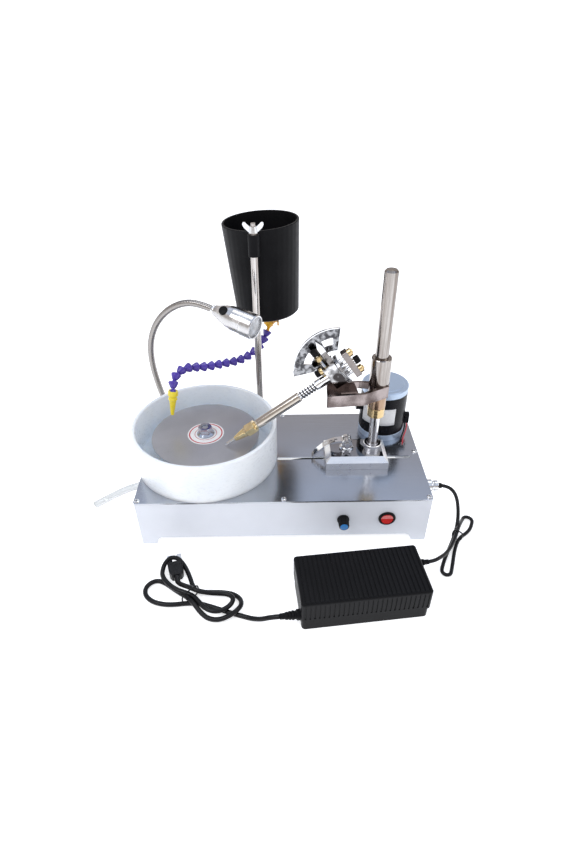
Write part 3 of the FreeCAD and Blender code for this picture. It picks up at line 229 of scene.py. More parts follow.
M["collet_brass"] = finish_metal("collet_brass", (0.76, 0.61, 0.35), 0.16, 0.22, 150.0, (1, 1, 1), 0.05, 0.00001, 0.12)
M["champagne"] = finish_metal("champagne_chrome", (0.53, 0.485, 0.43), 0.14, 0.08, 240.0, (0.5, 1, 0.5), 0.05, 0.000006, 0.12)
M["gunmetal"] = finish_metal("dark_chrome", (0.25, 0.225, 0.215), 0.14, 0.30, 160.0, (1, 1, 1), 0.06, 0.000008, 0.12)
M["motor_grey"] = finish_metal("motor_grey", (0.45, 0.55, 0.69), 0.34, 0.06, 300.0, (1, 1, 1), 0.06, 0.000008, 0.12, metallic=0.6)
M["spring_black"] = finish_metal("spring_black", (0.05, 0.05, 0.055), 0.28, 0.15, 400.0, (1, 1, 1), 0.08, 0.00001, 0.2, metallic=0.7)
M["motor_black"] = finish_plastic("motor_black", (0.006, 0.006, 0.008), 0.26, 0.25, 0.00002, 0.12, 1800.0, spec=0.11)
M["black"] = finish_plastic("black_plastic", (0.007, 0.007, 0.008), 0.36, 0.2, 0.00005, 0.3, 2600.0, spec=0.09)
M["rubber"] = finish_plastic("black_rubber", (0.007, 0.007, 0.008), 0.30, 0.2, 0.00004, 0.25, 2400.0, spec=0.22)
M["red"] = finish_plastic("red_plastic", (0.62, 0.02, 0.018), 0.22, 0.12, 0.00002, 0.12, 1800.0, coat=0.4)
M["red_wire"] = finish_plastic("red_wire", (0.55, 0.05, 0.07), 0.35, 0.12, 0.00002, 0.15, 2500.0)
M["blue"] = finish_plastic("blue_cap", (0.01, 0.22, 0.62), 0.25, 0.12, 0.00002, 0.12, 1800.0, coat=0.3)
M["orange"] = finish_plastic("valve_orange", (0.90, 0.47, 0.012), 0.30, 0.10, 0.00003, 0.15, 1500.0, coat=0.2, sss=0.05)
M["yellow"] = finish_plastic("nozzle_yellow", (0.82, 0.66, 0.03), 0.30, 0.10, 0.00003, 0.15, 1500.0, coat=0.2, sss=0.05)
M["violet"] = finish_plastic("link_violet", (0.065, 0.035, 0.34), 0.26, 0.15, 0.00003, 0.15, 1500.0, coat=0.3)
M["board"] = finish_plastic("circuit_board", (0.02, 0.16, 0.06), 0.45, 0.25, 0.00005, 0.3, 900.0)
M["white_reflector"] = finish_plastic("lamp_white", (0.82, 0.83, 0.84), 0.3, 0.04)
M["lamp_silver"] = finish_metal("lamp_silver", (0.70, 0.71, 0.73), 0.26, 0.06, 500.0, (1, 1, 1), 0.06, 0.00001, 0.18)

# lap: fine grey abrasive with faint turning rings
m, nt, b = make("lap_surface")
v = coords(nt, (1, 1, 1), (0.1086, 0.0007, 0))
w = node(nt, "ShaderNodeTexWave", wave_type="RINGS", rings_direction="Z")
w.inputs["Scale"].default_value = 320.0
w.inputs["Distortion"].default_value = 1.5
w.inputs["Detail"].default_value = 2.0
nt.links.new(v, w.inputs["Vector"])
speck = noise(nt, coords(nt), 3200.0, 2.0)
tone = noise(nt, coords(nt), 20.0, 4.0)
mixv = calc(nt, "ADD", calc(nt, "MULTIPLY", tone, 0.55), calc(nt, "ADD", calc(nt, "MULTIPLY", speck, 0.3), calc(nt, "MULTIPLY", w.outputs["Fac"], 0.15)))
nt.links.new(ramp(nt, mixv, [(0.3, (0.33, 0.325, 0.335)), (0.7, (0.46, 0.455, 0.47))]), b.inputs["Base Color"])
b.inputs["Metallic"].default_value = 0.55
nt.links.new(span(nt, speck, 0.26, 0.42), b.inputs["Roughness"])
bump(nt, b, calc(nt, "ADD", speck, calc(nt, "MULTIPLY", w.outputs["Fac"], 0.3)), 0.25, 0.00003)
M["lap"] = m
M["block"] = finish_metal("block_chrome", (0.93, 0.94, 0.96), 0.30, 0.10, 120.0, (1, 1, 1), 0.05, 0.000006, 0.1)
M["deck"] = finish_metal("deck_polish", (0.36, 0.36, 0.38), 0.07, 0.08, 120.0, (1, 1, 1), 0.03, 0.000004, 0.08)
# mast tube and carriage bush: painted reflection streaks in their colour
M["mast_reflection_streaks"] = finish_reflection_streaks("mast_reflection_streaks", (0.16, 0.125, 0.105), (0.48, 0.455, 0.43), 0.12, 0.1265, -0.011)
M["bush_reflection_streaks"] = finish_reflection_streaks("bush_reflection_streaks", (0.17, 0.085, 0.06), (0.52, 0.38, 0.26), 0.16, 0.1265, -0.011)


def finish_reflection_patches(name, dark, light, rough, scale=70.0, stretch=(1, 1, 1)):
    """Hand-polished plating; its uneven bright and dark areas are painted reflection."""
    m, nt, b = make(name)
    # painted reflection: noise patches run the colour from dark to light
    reflection_patch = noise(nt, coords(nt, stretch), scale, 2.0, 0.45)
    fine = noise(nt, coords(nt), 420.0, 4.0, 0.6)
    nt.links.new(ramp(nt, calc(nt, "ADD", calc(nt, "MULTIPLY", reflection_patch, 0.85), calc(nt, "MULTIPLY", fine, 0.15)), [(0.40, dark), (0.50, tuple((x + y) * 0.42 for x, y in zip(dark, light))), (0.60, light)]), b.inputs["Base Color"])
    nt.links.new(span(nt, fine, rough - 0.03, rough + 0.06), b.inputs["Roughness"])
    b.inputs["Metallic"].default_value = 1.0
    bump(nt, b, fine, 0.06, 0.00001)
    return m


# quadrant, yoke and bracket plates: painted reflection patches in their colour
M["dark_plate"] = finish_reflection_patches("dark_plate", (0.06, 0.06, 0.065), (0.36, 0.365, 0.38), 0.09, 190.0)
M["yoke_plate"] = finish_reflection_patches("yoke_plate", (0.05, 0.045, 0.045), (0.74, 0.74, 0.75), 0.09, 95.0)
M["bracket_plate"] = finish_reflection_patches("bracket_plate", (0.10, 0.075, 0.07), (0.36, 0.31, 0.30), 0.12, 38.0)
# water rod: painted reflection streaks in its colour
M["upright_reflection_streaks"] = finish_reflection_streaks("upright_reflection_streaks", (0.22, 0.18, 0.155), (0.66, 0.64, 0.62), 0.13, -0.034, 0.085)
M["neck_steel"] = finish_metal("neck_steel", (0.34, 0.32, 0.305), 0.20, 0.12, 300.0, (1, 1, 1), 0.06, 0.000008, 0.12)
# lamp shell: painted reflection patches in its colour
M["lamp_shell"] = finish_reflection_patches("lamp_polish_reflection_patches", (0.58, 0.57, 0.57), (0.86, 0.86, 0.87), 0.20, 46.0)
# mast rod: painted reflection streaks in its colour
M["rod_reflection_streaks"] = finish_reflection_streaks("rod_reflection_streaks", (0.34, 0.32, 0.31), (0.86, 0.87, 0.89), 0.10, 0.1265, -0.011)
M["wheel_steel"] = finish_metal("wheel_steel", (0.42, 0.42, 0.43), 0.16, 0.12, 200.0, (1, 1, 1), 0.05, 0.000006, 0.1)

# bucket: satin black with shallow upright flutes
m, nt, b = make("bucket_black")
tone = noise(nt, coords(nt), 18.0, 5.0)
nt.links.new(ramp(nt, tone, [(0.3, (0.004, 0.004, 0.005)), (0.72, (0.009, 0.009, 0.010))]), b.inputs["Base Color"])
nt.links.new(span(nt, noise(nt, coords(nt), 120.0, 5.0, 0.7), 0.36, 0.52), b.inputs["Roughness"])
b.inputs["Specular IOR Level"].default_value = 0.09
fl = around(nt, -0.0231, 0.145, 36)
first = bump(nt, b, fl, 0.12, 0.0005)
bump(nt, b, noise(nt, coords(nt), 1500.0, 3.0), 0.2, 0.00005, first)
M["bucket"] = m

# clear parts
m, nt, b = make("clear_hose")
b.inputs["Base Color"].default_value = (0.78, 0.80, 0.80, 1)
b.inputs["Transmission Weight"].default_value = 0.45
b.inputs["IOR"].default_value = 1.38
nt.links.new(span(nt, noise(nt, coords(nt), 60.0, 4.0), 0.12, 0.3), b.inputs["Roughness"])
bump(nt, b, noise(nt, coords(nt), 400.0, 3.0), 0.15, 0.00005)
M["hose_clear"] = m
m, nt, b = make("lens_clear")
b.inputs["Base Color"].default_value = (0.95, 0.97, 1.0, 1)
b.inputs["Transmission Weight"].default_value = 0.7
b.inputs["IOR"].default_value = 1.45
nt.links.new(span(nt, noise(nt, coords(nt), 200.0, 3.0), 0.05, 0.15), b.inputs["Roughness"])
bump(nt, b, noise(nt, coords(nt), 600.0, 2.0), 0.1, 0.00005)
M["lens"] = m


# ------------------------------------------------------------------ cords first
def cord_curve(name, pts, radius, mat):
    cu = bpy.data.curves.new(name, "CURVE")
    cu.dimensions = "3D"
    sp = cu.splines.new("NURBS")
    sp.points.add(len(pts) - 1)
    for p, q in zip(sp.points, pts):
        p.co = (q[0] * MM, q[1] * MM, q[2] * MM, 1.0)
    sp.order_u = 3
    sp.use_endpoint_u = True
    sp.resolution_u = 8
    cu.bevel_depth = radius * MM
    cu.bevel_resolution = 6
    cu.use_fill_caps = True
    ob = bpy.data.objects.new(name, cu)
    scene.collection.objects.link(ob)
    cu.materials.append(mat)
    return ob


DRAIN = [(-197.5, -39.0, 56.0), (-215.0, -41.6, 53.0), (-233.0, -45.2, 46.5), (-251.0, -48.6, 38.5), (-268.0, -52.0, 30.0)]
ZF = 2.65
DC = [(220.0, -57.0, 62.0), (229.5, -57.4, 60.2), (238.0, -60.5, 54.0), (243.2, -64.5, 44.0), (245.8, -69.5, 31.0), (246.4, -75.5, 19.0), (244.5, -83.0, 11.0), (240.0, -93.0, 8.0),
      (234.5, -104.0, 7.2), (227.0, -116.5, 5.0), (218.8, -129.5, ZF), (212.6, -140.5, ZF), (208.2, -149.4, ZF), (204.9, -158.0, ZF), (208.8, -163.7, ZF), (215.7, -162.8, ZF), (219.2, -154.6, ZF), (224.2, -142.0, ZF), (230.8, -124.5, ZF), (238.8, -108.0, ZF), (247.5, -98.0, ZF),
      (257.0, -91.5, ZF), (264.5, -83.5, ZF), (269.3, -74.6, ZF), (272.5, -66.8, ZF), (268.8, -60.9, ZF), (261.8, -60.7, ZF + 0.6), (256.6, -68.4, 4.4), (250.6, -78.6, 9.4), (244.2, -89.5, 13.4), (238.4, -101.0, 13.6), (231.5, -113.5, 12.6), (223.0, -127.0, 13.6), (212.5, -140.5, 17.0), (201.5, -150.5, 21.4), (191.93, -158.27, 25.0), (183.93, -159.87, 25.0)]
AC = [(-6.58, -232.84, 20.0), (-18.0, -232.0, 17.5), (-28.0, -229.5, 10.5), (-39.0, -225.0, 5.0), (-51.0, -220.0, 3.1), (-60.5, -217.0, 3.1),
      (-75.0, -211.8, 3.1), (-90.0, -206.0, 3.1), (-105.0, -201.2, 3.1), (-121.0, -200.0, 3.1), (-136.0, -202.0, 3.1), (-150.0, -201.5, 3.1), (-164.0, -197.4, 3.1), (-174.3, -188.8, 3.1), (-177.4, -178.0, 3.1), (-172.4, -168.6, 3.1), (-163.0, -165.0, 3.1),
      (-153.0, -169.5, 3.1), (-142.5, -177.5, 3.1), (-131.5, -186.5, 4.6), (-120.5, -196.0, 9.4), (-111.0, -205.5, 9.4), (-103.5, -214.5, 6.0), (-93.5, -222.5, 3.2), (-80.0, -225.0, 3.4), (-67.5, -222.0, 6.8), (-57.5, -215.8, 9.6), (-52.8, -206.5, 8.0), (-55.5, -195.5, 4.5), (-65.0, -187.5, 3.1),
      (-78.0, -185.0, 3.1), (-92.0, -184.2, 3.1), (-104.0, -184.2, 3.1), (-112.0, -181.5, 3.1), (-117.8, -173.5, 3.1), (-121.5, -163.5, 3.1), (-126.5, -152.5, 3.1), (-132.5, -142.5, 5.5), (-140.5, -135.5, 11.0), (-150.0, -134.5, 12.0), (-157.0, -140.5, 9.0), (-159.5, -150.5, 6.0), (-157.8, -161.0, 8.0),
      (-152.5, -170.0, 9.6), (-145.0, -178.0, 9.6), (-135.5, -184.8, 9.6), (-124.0, -189.0, 9.4), (-113.5, -194.0, 9.4), (-106.0, -202.5, 9.4), (-98.5, -211.0, 9.6), (-89.5, -216.5, 9.8), (-79.5, -217.0, 9.8), (-70.5, -212.5, 9.6), (-64.2, -205.0, 9.6), (-64.0, -197.5, 9.6), (-70.5, -192.6, 9.6), (-81.0, -191.3, 9.6),
      (-92.0, -192.0, 11.5), (-103.0, -192.0, 14.6), (-112.0, -189.4, 15.7), (-119.6, -184.6, 14.0), (-126.6, -179.0, 10.2), (-132.8, -174.6, 7.2), (-136.5, -170.5, 6.3)]
hose = cord_curve("drain_hose_clear", DRAIN, 5.0, M["hose_clear"])
dc = cord_curve("dc_cable_black", DC, 2.5, M["rubber"])
ac = cord_curve("ac_cable_black", AC, 3.0, M["rubber"])
for ob, slot in ((hose, "clear_hose"), (dc, "black_rubber"), (ac, "black_rubber")):
    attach(ob, "base")
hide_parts("drain_hose")
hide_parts("dc_cable")
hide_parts("ac_lead", "ac_hank")


def curve_length(ob):
    me = bpy.data.meshes.new_from_object(ob.evaluated_get(bpy.context.evaluated_depsgraph_get()))
    return me


def line_length(pts, name):
    probe = cord_curve(name, pts, 0.0, M["rubber"])
    probe.data.bevel_depth = 0.0
    bpy.context.view_layer.update()
    me = bpy.data.meshes.new_from_object(probe)
    co = np.array([v.co for v in me.vertices])
    total = float(np.linalg.norm(np.diff(co, axis=0), axis=1).sum())
    cu = probe.data
    bpy.data.objects.remove(probe)
    bpy.data.curves.remove(cu)
    bpy.data.meshes.remove(me)
    return total, co


len_drain, _ = line_length(DRAIN, "probe_a")
len_dc, _ = line_length(DC, "probe_b")
len_ac, _ = line_length(AC, "probe_c")
print("cord lengths", len_drain, len_dc, len_ac)


# ------------------------------------------------------------------ mesh helpers
def add_mesh(name, bm, mat, body, smooth=True):
    me = bpy.data.meshes.new(name)
    bm.normal_update()
    bm.to_mesh(me)
    bm.free()
    ob = bpy.data.objects.new(name, me)
    scene.collection.objects.link(ob)
    me.materials.append(mat)
    if smooth:
        for p in me.polygons:
            p.use_smooth = True
    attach(ob, body)
    return ob


def sweep(bm, pts, radii, segs=20, closed=False, flat=None):
    """Skin a tube through points; one radius per point; flat=(a, b) scales the section's two axes."""
    pts = [Vector(p) for p in pts]
    n = len(pts)
    rings, ref = [], None
    for i in range(n):
        if closed:
            t = pts[(i + 1) % n] - pts[i - 1]
        else:
            t = pts[min(i + 1, n - 1)] - pts[max(i - 1, 0)]
        t.normalize()
        if ref is None:
            ref = t.orthogonal().normalized()
        ref = (ref - t * ref.dot(t)).normalized()
        other = t.cross(ref)
        a, c = flat if flat else (1.0, 1.0)
        rings.append([bm.verts.new(pts[i] + (ref * math.cos(2 * math.pi * k / segs) * a + other * math.sin(2 * math.pi * k / segs) * c) * radii[i]) for k in range(segs)])
    last = n if closed else n - 1
    for i in range(last):
        ra, rb = rings[i], rings[(i + 1) % n]
        for k in range(segs):
            bm.faces.new((ra[k], ra[(k + 1) % segs], rb[(k + 1) % segs], rb[k]))
    if not closed:
        bm.faces.new(list(reversed(rings[0])))
        bm.faces.new(rings[-1])


# ties round the folded cords
def tie(name, centre, axis, half_w, low, high, body="base"):
    c, ax = Vector(centre), Vector(axis).normalized()
    side = Vector((0, 0, 1)).cross(ax).normalized()
    mid, hh = (low + high) / 2, (high - low) / 2
    pts = []
    for k in range(40):
        a = 2 * math.pi * k / 40
        e = 0.62
        pts.append((c + side * (half_w * math.copysign(abs(math.cos(a)) ** e, math.cos(a)))) * MM + Vector((0, 0, (mid + hh * math.copysign(abs(math.sin(a)) ** e, math.sin(a))) * MM)))
    bm = bmesh.new()
    sweep(bm, pts, [0.0009] * 40, 10, True)
    tail = [(c + side * half_w * 0.2) * MM + Vector((0, 0, high * MM)), (c + side * half_w * 0.45 + ax * 3) * MM + Vector((0, 0, (high + 0.6) * MM)), (c + side * half_w * 0.75 + ax * 7) * MM + Vector((0, 0, (high - 1.0) * MM))]
    sweep(bm, tail, [0.0009, 0.0009, 0.0007], 10)
    return add_mesh(name, bm, M["rubber"], body)


tie_ac = tie("mains_tie", (-117.2, -192.0, 0), (0.72, -0.69, 0), 12.5, 1.0, 18.0)
tie_dc = tie("dc_tie", (240.3, -100.6, 0), (0.5, 0.87, 0), 6.6, 0.9, 16.3)

# ------------------------------------------------------------------ gooseneck: wound strip with fine ridges
NECK = [(-177.0, 85.0, 66.0), (-177.0, 85.0, 100.0), (-186.0, 86.5, 140.0), (-191.0, 87.2, 180.0), (-188.0, 85.6, 215.0), (-175.0, 79.4, 246.0), (-154.0, 69.4, 271.0), (-128.0, 57.0, 287.0), (-104.0, 45.6, 289.5), (-86.0, 38.0, 284.0)]
total, line = line_length(NECK, "probe_neck")
steps = int(total / 0.0008)
cum = np.concatenate([[0], np.cumsum(np.linalg.norm(np.diff(line, axis=0), axis=1))])
along = np.linspace(0, cum[-1], steps)
neck_pts = np.stack([np.interp(along, cum, line[:, i]) for i in range(3)], 1)
bm = bmesh.new()
sweep(bm, neck_pts.tolist(), [0.0045 - 0.00055 * (1 if (i % 3) == 0 else 0) for i in range(steps)], 20)
neck = add_mesh("gooseneck", bm, M["neck_steel"], "lamp_arm")
bm = bmesh.new()
bmesh.ops.create_uvsphere(bm, u_segments=32, v_segments=20, radius=0.0060)
bmesh.ops.translate(bm, verts=bm.verts, vec=Vector(NECK[-1]) * MM)
ball = add_mesh("gooseneck_ball", bm, M["bright"], "lamp_arm")
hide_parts("lamp_neck")

# ------------------------------------------------------------------ lap label and motor label
BX, BY = -0.1086, -0.0007


def disc(name, rin, rout, z0, z1, mat, body, segs=96):
    bm = bmesh.new()
    loops = []
    for r, z in ((rin, z0), (rout, z0), (rout, z1), (rin, z1)):
        loops.append([bm.verts.new((BX + r * math.cos(2 * math.pi * k / segs), BY + r * math.sin(2 * math.pi * k / segs), z)) for k in range(segs)])
    for i in range(4):
        a, c = loops[i], loops[(i + 1) % 4]
        for k in range(segs):
            bm.faces.new((a[k], a[(k + 1) % segs], c[(k + 1) % segs], c[k]))
    return add_mesh(name, bm, mat, body, smooth=False)


m, nt, b = make("lap_label_paper")
sep = node(nt, "ShaderNodeSeparateXYZ")
nt.links.new(coords(nt, (1, 1, 1), (-BX, -BY, 0)), sep.inputs[0])
rad = calc(nt, "SQRT", calc(nt, "ADD", calc(nt, "POWER", sep.outputs["X"], 2.0), calc(nt, "POWER", sep.outputs["Y"], 2.0)))
red = calc(nt, "MULTIPLY", calc(nt, "GREATER_THAN", rad, 0.0218), calc(nt, "LESS_THAN", rad, 0.0236))
red2 = calc(nt, "MULTIPLY", calc(nt, "GREATER_THAN", rad, 0.0148), calc(nt, "LESS_THAN", rad, 0.0156))
paper = noise(nt, coords(nt), 500.0, 4.0)
mx = node(nt, "ShaderNodeMix", data_type="RGBA")
nt.links.new(calc(nt, "MAXIMUM", red, red2), mx.inputs[0])
nt.links.new(ramp(nt, paper, [(0.3, (0.78, 0.77, 0.76)), (0.7, (0.86, 0.86, 0.85))]), mx.inputs[6])
mx.inputs[7].default_value = (0.50, 0.06, 0.07, 1)
nt.links.new(mx.outputs[2], b.inputs["Base Color"])
nt.links.new(span(nt, paper, 0.35, 0.5), b.inputs["Roughness"])
bump(nt, b, paper, 0.1, 0.00003)
disc("lap_label", 0.0122, 0.0255, 0.11601, 0.11612, m, "spindle")

m, nt, b = make("blank_label_paper")
paper = noise(nt, coords(nt), 300.0, 4.0)
nt.links.new(ramp(nt, paper, [(0.3, (0.74, 0.75, 0.76)), (0.7, (0.83, 0.84, 0.85))]), b.inputs["Base Color"])
nt.links.new(span(nt, paper, 0.30, 0.45), b.inputs["Roughness"])
bump(nt, b, paper, 0.1, 0.00003)
bm = bmesh.new()
rows = []
A0, A1 = math.radians(-157), math.radians(-68)
for j in range(5):
    z = 0.105 + 0.028 * j / 4
    rows.append([[bm.verts.new((0.1515 + r * math.cos(A0 + (A1 - A0) * k / 40), 0.061 + r * math.sin(A0 + (A1 - A0) * k / 40), z)) for k in range(41)] for r in (0.03406, 0.0342)])
for j in range(4):
    for k in range(40):
        a, c = rows[j], rows[j + 1]
        bm.faces.new((a[1][k], a[1][k + 1], c[1][k + 1], c[1][k]))
        bm.faces.new((a[0][k + 1], a[0][k], c[0][k], c[0][k + 1]))
for k in range(40):
    bm.faces.new((rows[0][0][k], rows[0][0][k + 1], rows[0][1][k + 1], rows[0][1][k]))
    bm.faces.new((rows[4][1][k], rows[4][1][k + 1], rows[4][0][k + 1], rows[4][0][k]))
for j in range(4):
    bm.faces.new((rows[j][0][0], rows[j][1][0], rows[j + 1][1][0], rows[j + 1][0][0]))
    bm.faces.new((rows[j][1][40], rows[j][0][40], rows[j + 1][0][40], rows[j + 1][1][40]))
add_mesh("motor_label", bm, m, "base")

# cross recesses in the plate screws, drawn as dark boxes: painted shade
bm = bmesh.new()
for x, y in [(-192, -96), (0, -96), (192, -96), (192, 0), (-192, 96), (0, 96), (192, 96)]:
    turn = math.radians((x * 7 + y * 13) % 90)
    for q in (0, math.pi / 2):
        mat4 = Matrix.Translation((x * MM, y * MM, 0.07920)) @ Matrix.Rotation(turn + q, 4, "Z") @ Matrix.Diagonal((0.0032, 0.0007, 0.00055, 1))
        bmesh.ops.create_cube(bm, size=1.0, matrix=mat4)
add_mesh("screw_recess_shade", bm, M["spring_black"], "base", smooth=False)

# ------------------------------------------------------------------ finishes on the CAD pieces
sw, th = math.radians(5.5), math.radians(34.8)
XC, YC = Vector((math.cos(sw), math.sin(sw), 0)), Vector((-math.sin(sw), math.cos(sw), 0))
ZC = Vector((0, 0, 1))
MAST = Vector((0.1265, -0.011, 0.0))
TILT = MAST - XC * 0.0565 + ZC * 0.222
E1 = XC * math.cos(th) + ZC * math.sin(th)
E2 = ZC * math.cos(th) - XC * math.sin(th)


def quill(p):
    d = p - TILT
    return d.dot(E1) * 1000, d.dot(YC) * 1000, d.dot(E2) * 1000


# ------------------------------------------------------------------ ribbed and notched turned pieces
def ribbed(name, prof, origin, axis, count, depth, mats, body, ring=False, square=False, per=8):
    """Turn a profile of (radius, height, rib share, finish) round an axis, with ribs cut into it."""
    z = Vector(axis).normalized()
    x = z.orthogonal().normalized()
    y = z.cross(x)
    o = Vector(origin)
    segs = count * per
    bm = bmesh.new()
    loops = []
    for r, h, k, _ in prof:
        if r == 0:
            loops.append([bm.verts.new(o + z * h * MM)])
            continue
        row = []
        for i in range(segs):
            ph = (i % per) / per
            w = (1.0 if ph < 0.45 else 0.0) if square else 0.5 - 0.5 * math.cos(2 * math.pi * ph)
            row.append(bm.verts.new(o + (x * math.cos(2 * math.pi * i / segs) + y * math.sin(2 * math.pi * i / segs)) * ((r - depth * k * w) * MM) + z * h * MM))
        loops.append(row)
    for j in range(len(prof) if ring else len(prof) - 1):
        a, c = loops[j], loops[(j + 1) % len(prof)]
        for i in range(segs):
            n = (i + 1) % segs
            if len(a) == 1:
                f = bm.faces.new((a[0], c[n], c[i]))
            elif len(c) == 1:
                f = bm.faces.new((a[i], a[n], c[0]))
            else:
                f = bm.faces.new((a[i], a[n], c[n], c[i]))
            f.material_index = prof[j][3]
    bmesh.ops.recalc_face_normals(bm, faces=bm.faces)
    ob = add_mesh(name, bm, mats[0], body)
    for extra in mats[1:]:
        ob.data.materials.append(extra)
    ob.data.set_sharp_from_angle(angle=math.radians(32))
    return ob


wheel = ribbed("index_wheel_notched", [(4.02, 5.3, 0, 0), (18.0, 5.3, 0, 0), (19.1, 5.3, 1, 0), (20.0, 6.1, 1, 0), (20.0, 9.4, 1, 0), (19.1, 10.2, 1, 0), (18.0, 10.2, 0, 0), (7.0, 10.2, 0, 0), (7.0, 13.0, 0, 0), (4.02, 13.0, 0, 0)],
               TILT, E1, 64, 1.2, [M["wheel_steel"]], "quill", ring=True, square=True, per=6)
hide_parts("index_wheel")
knob = ribbed("speed_knob_ribbed", [(0, -13.5, 0, 2), (3.0, -13.5, 0, 2), (3.0, 0.8, 0, 0), (8.2, 0.8, 0, 0), (8.2, 2.6, 0, 0), (7.5, 3.4, 1, 0), (6.8, 14.6, 1, 0), (6.0, 15.4, 0, 0), (5.3, 15.5, 0, 1), (4.8, 16.0, 0, 1), (0, 16.0, 0, 1)],
              (0.0797, -0.0995, 0.043), (0, -1, 0), 18, 0.55, [M["black"], M["blue"], M["bright"]], "knob")
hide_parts("speed_knob")
plunger = ribbed("index_plunger_ribbed", [(0, -24, 0, 0), (3.9, -24, 0, 0), (4.6, -23.2, 1, 0), (4.6, -18, 1, 0), (5.1, -17.4, 0, 1), (5.2, -17.0, 0, 1), (5.2, -13.2, 0, 2), (2.0, -13.2, 0, 2), (2.0, 3.6, 0, 2), (1.2, 5.0, 0, 2), (0, 5.0, 0, 2)],
                 TILT + E2 * 0.0135, E1, 18, 0.45, [M["black"], M["gold"], M["bright"]], "plunger")
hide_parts("index_plunger")


def paint(name, mats, pick=None):
    """Give a CAD piece one finish, or several chosen per face by pick(centre, normal)."""
    o = nodes[name]
    o.data.materials.clear()
    for mm in mats:
        o.data.materials.append(mm)
    if pick is not None:
        for p in o.data.polygons:
            p.material_index = pick(p.center, p.normal)
    else:
        for p in o.data.polygons:
            p.material_index = 0


paint("top_plate", [M["plate"]])
paint("base_shell", [M["white_panel"]])
paint("front_panel", [M["white_panel"]])
paint("plate_fasteners", [M["bright"]])
paint("splash_basin", [M["basin_white"]])
paint("spindle_housing", [M["turned"]])
paint("spindle_bearings", [M["bright"]])
paint("spindle_shaft", [M["turned"]])
paint("driven_pulley", [M["turned"]])
paint("lap_disc", [M["lap"]])
paint("lap_nut", [M["nut_steel"]])
paint("motor_can", [M["motor_black"], M["bright"]], lambda c, n: 1 if c.x > 0.1856 and c.z < 0.0965 else 0)
paint("motor_end_bells", [M["motor_grey"]])
paint("motor_armature", [M["bright"]])
paint("drive_pulley", [M["turned"]])
paint("drive_belt", [M["rubber"]])
paint("motor_leads", [M["red_wire"], M["rubber"]], lambda c, n: 0 if c.x * 1000 > np.interp(c.y * 1000, [21, 22.5, 28, 35, 42, 47.5, 49], [177.0, 177.0, 178.4, 181.3, 184.8, 186.9, 186.0]) else 1)
paint("drain_elbow", [M["black"]])
paint("water_rod", [M["upright_reflection_streaks"]])
paint("water_bucket", [M["bucket"]])
paint("wing_nut", [M["bright"]])
paint("valve_body", [M["orange"]])
paint("valve_handle", [M["orange"]])
paint("hose_links_upper", [M["violet"]])
paint("hose_links_lower", [M["violet"]])
paint("drip_nozzle", [M["yellow"]])
paint("lamp_shell", [M["lamp_shell"]])
paint("lamp_lens", [M["lens"]])
paint("lamp_button", [M["black"]])
paint("mast_block", [M["block"], M["deck"]], lambda c, n: 1 if n.z > 0.95 else 0)
paint("mast_rod", [M["rod_reflection_streaks"]])
paint("clamp_stud", [M["bright"]])
paint("clamp_lever", [M["chrome"]])
paint("stop_collar", [M["gold"]])
paint("carriage_bush", [M["bush_reflection_streaks"]])
paint("mast_tube", [M["mast_reflection_streaks"]])
paint("head_bracket", [M["bracket_plate"]])


def quad_pick(c, n):
    d = c - TILT
    r = math.hypot(d.dot(XC), d.z)
    if abs(n.dot(YC)) < 0.7:
        return 1
    return 1 if r > 0.0536 else 0


paint("quadrant_plate", [M["dark_plate"], M["chrome"]], quad_pick)


def yoke_pick(c, n):
    x, y, z = quill(c)
    if z > 18.6 and x < -4.7:
        return 2 if 25.4 < z < 31.6 else (3 if z > 34.4 else 1)
    if x < -12.2 or z > 19.2:
        return 1
    return 0


paint("yoke_block", [M["yoke_plate"], M["chrome"], M["gold"], M["black"]], yoke_pick)
paint("quill_shaft", [M["champagne"], M["bright"]], lambda c, n: 0 if -127.5 < quill(c)[0] < -57.5 else 1)
paint("collet_chuck", [M["collet_brass"]])
paint("dop_stick", [M["bright"]])
paint("quill_spring", [M["spring_black"]])


def bridge_pick(c, n):
    x, y, z = quill(c)
    if x > 25.2 and abs(z) > 8:
        return 2
    if x > 25.8:
        return 3
    return 1 if x < 16.9 else 0


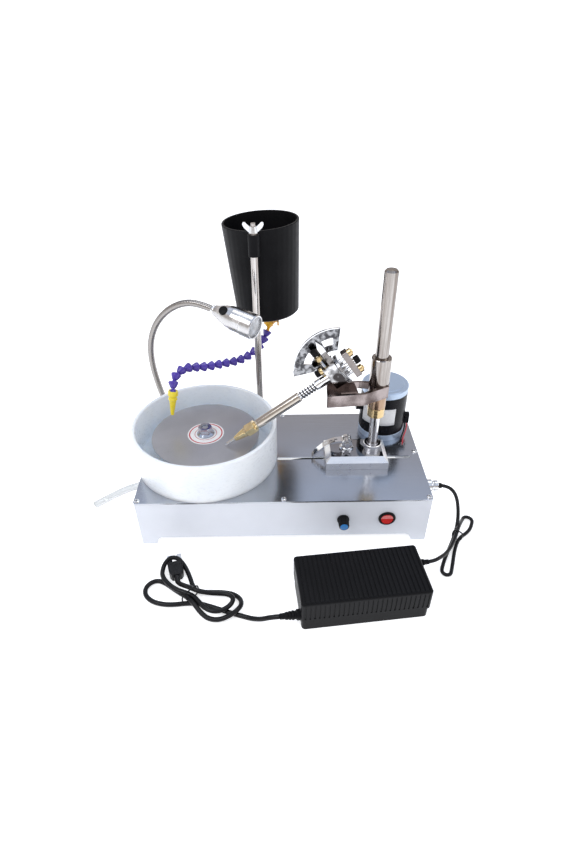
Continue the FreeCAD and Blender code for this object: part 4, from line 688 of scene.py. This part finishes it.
paint("rear_bridge", [M["gunmetal"], M["bright"], M["gold"], M["black"]], bridge_pick)
paint("speed_controller", [M["board"], M["black"], M["turned"]], lambda c, n: 2 if c.x < 0.0737 and c.y > -0.0805 else (1 if c.y < -0.0822 else 0))
paint("switch_body", [M["black"]])
paint("rocker", [M["red"]])
paint("power_socket", [M["bright"]])
paint("dc_plug", [M["bright"], M["black"]], lambda c, n: 1 if c.x > 0.2155 else 0)
paint("brick_bottom", [M["black"]])
paint("brick_top", [M["black"]])
PLUG, PDIR = Vector((-0.1365, -0.1705, 0.0063)), Vector((-0.26, 0.965, 0)).normalized()
paint("ac_plug", [M["rubber"], M["bright"]], lambda c, n: 1 if (c - PLUG).dot(PDIR) > 0.0302 else 0)

# ------------------------------------------------------------------ floor and light
bm = bmesh.new()
bmesh.ops.create_grid(bm, x_segments=1, y_segments=1, size=40.0)
me = bpy.data.meshes.new("floor")
bm.to_mesh(me)
bm.free()
floor = bpy.data.objects.new("floor", me)
floor.location.z = -0.0003
scene.collection.objects.link(floor)
m, nt, b = make("floor_white")
b.inputs["Base Color"].default_value = (0.92, 0.92, 0.92, 1)
b.inputs["Roughness"].default_value = 0.9
b.inputs["Specular IOR Level"].default_value = 0.1
b.inputs["Emission Color"].default_value = (1, 1, 1, 1)
b.inputs["Emission Strength"].default_value = 0.62
me.materials.append(m)

world = bpy.data.worlds.new("studio")
scene.world = world
world.use_nodes = True
nt = world.node_tree
bg = nt.nodes["Background"]
tc = node(nt, "ShaderNodeTexCoord")
sep = node(nt, "ShaderNodeSeparateXYZ")
nt.links.new(tc.outputs["Generated"], sep.inputs[0])
nt.links.new(ramp(nt, sep.outputs["Z"], [(0.0, (1.3, 1.3, 1.3)), (0.07, (1.3, 1.3, 1.3)), (0.14, (0.62, 0.59, 0.57)), (0.60, (0.50, 0.45, 0.435)), (0.67, (0.67, 0.77, 0.97)), (1.0, (0.73, 0.77, 0.85))]), bg.inputs["Color"])
bg.inputs["Strength"].default_value = 1.0


def area(name, loc, target, size, power, color=(1, 1, 1)):
    li = bpy.data.lights.new(name, "AREA")
    li.shape = "RECTANGLE"
    li.size, li.size_y = size
    li.energy = power
    li.color = color
    ob = bpy.data.objects.new(name, li)
    ob.location = loc
    d = Vector(target) - Vector(loc)
    ob.rotation_euler = d.to_track_quat("-Z", "Y").to_euler()
    scene.collection.objects.link(ob)


area("key", (-0.9, -0.7, 1.5), (0, 0, 0.1), (0.9, 0.7), 9.0)
area("fill", (1.2, -0.6, 0.9), (0, 0, 0.15), (0.8, 0.8), 2.5)
area("top", (0.1, 0.4, 1.7), (0, 0, 0.1), (1.2, 0.6), 5.0)

scene.view_settings.view_transform = "Standard"
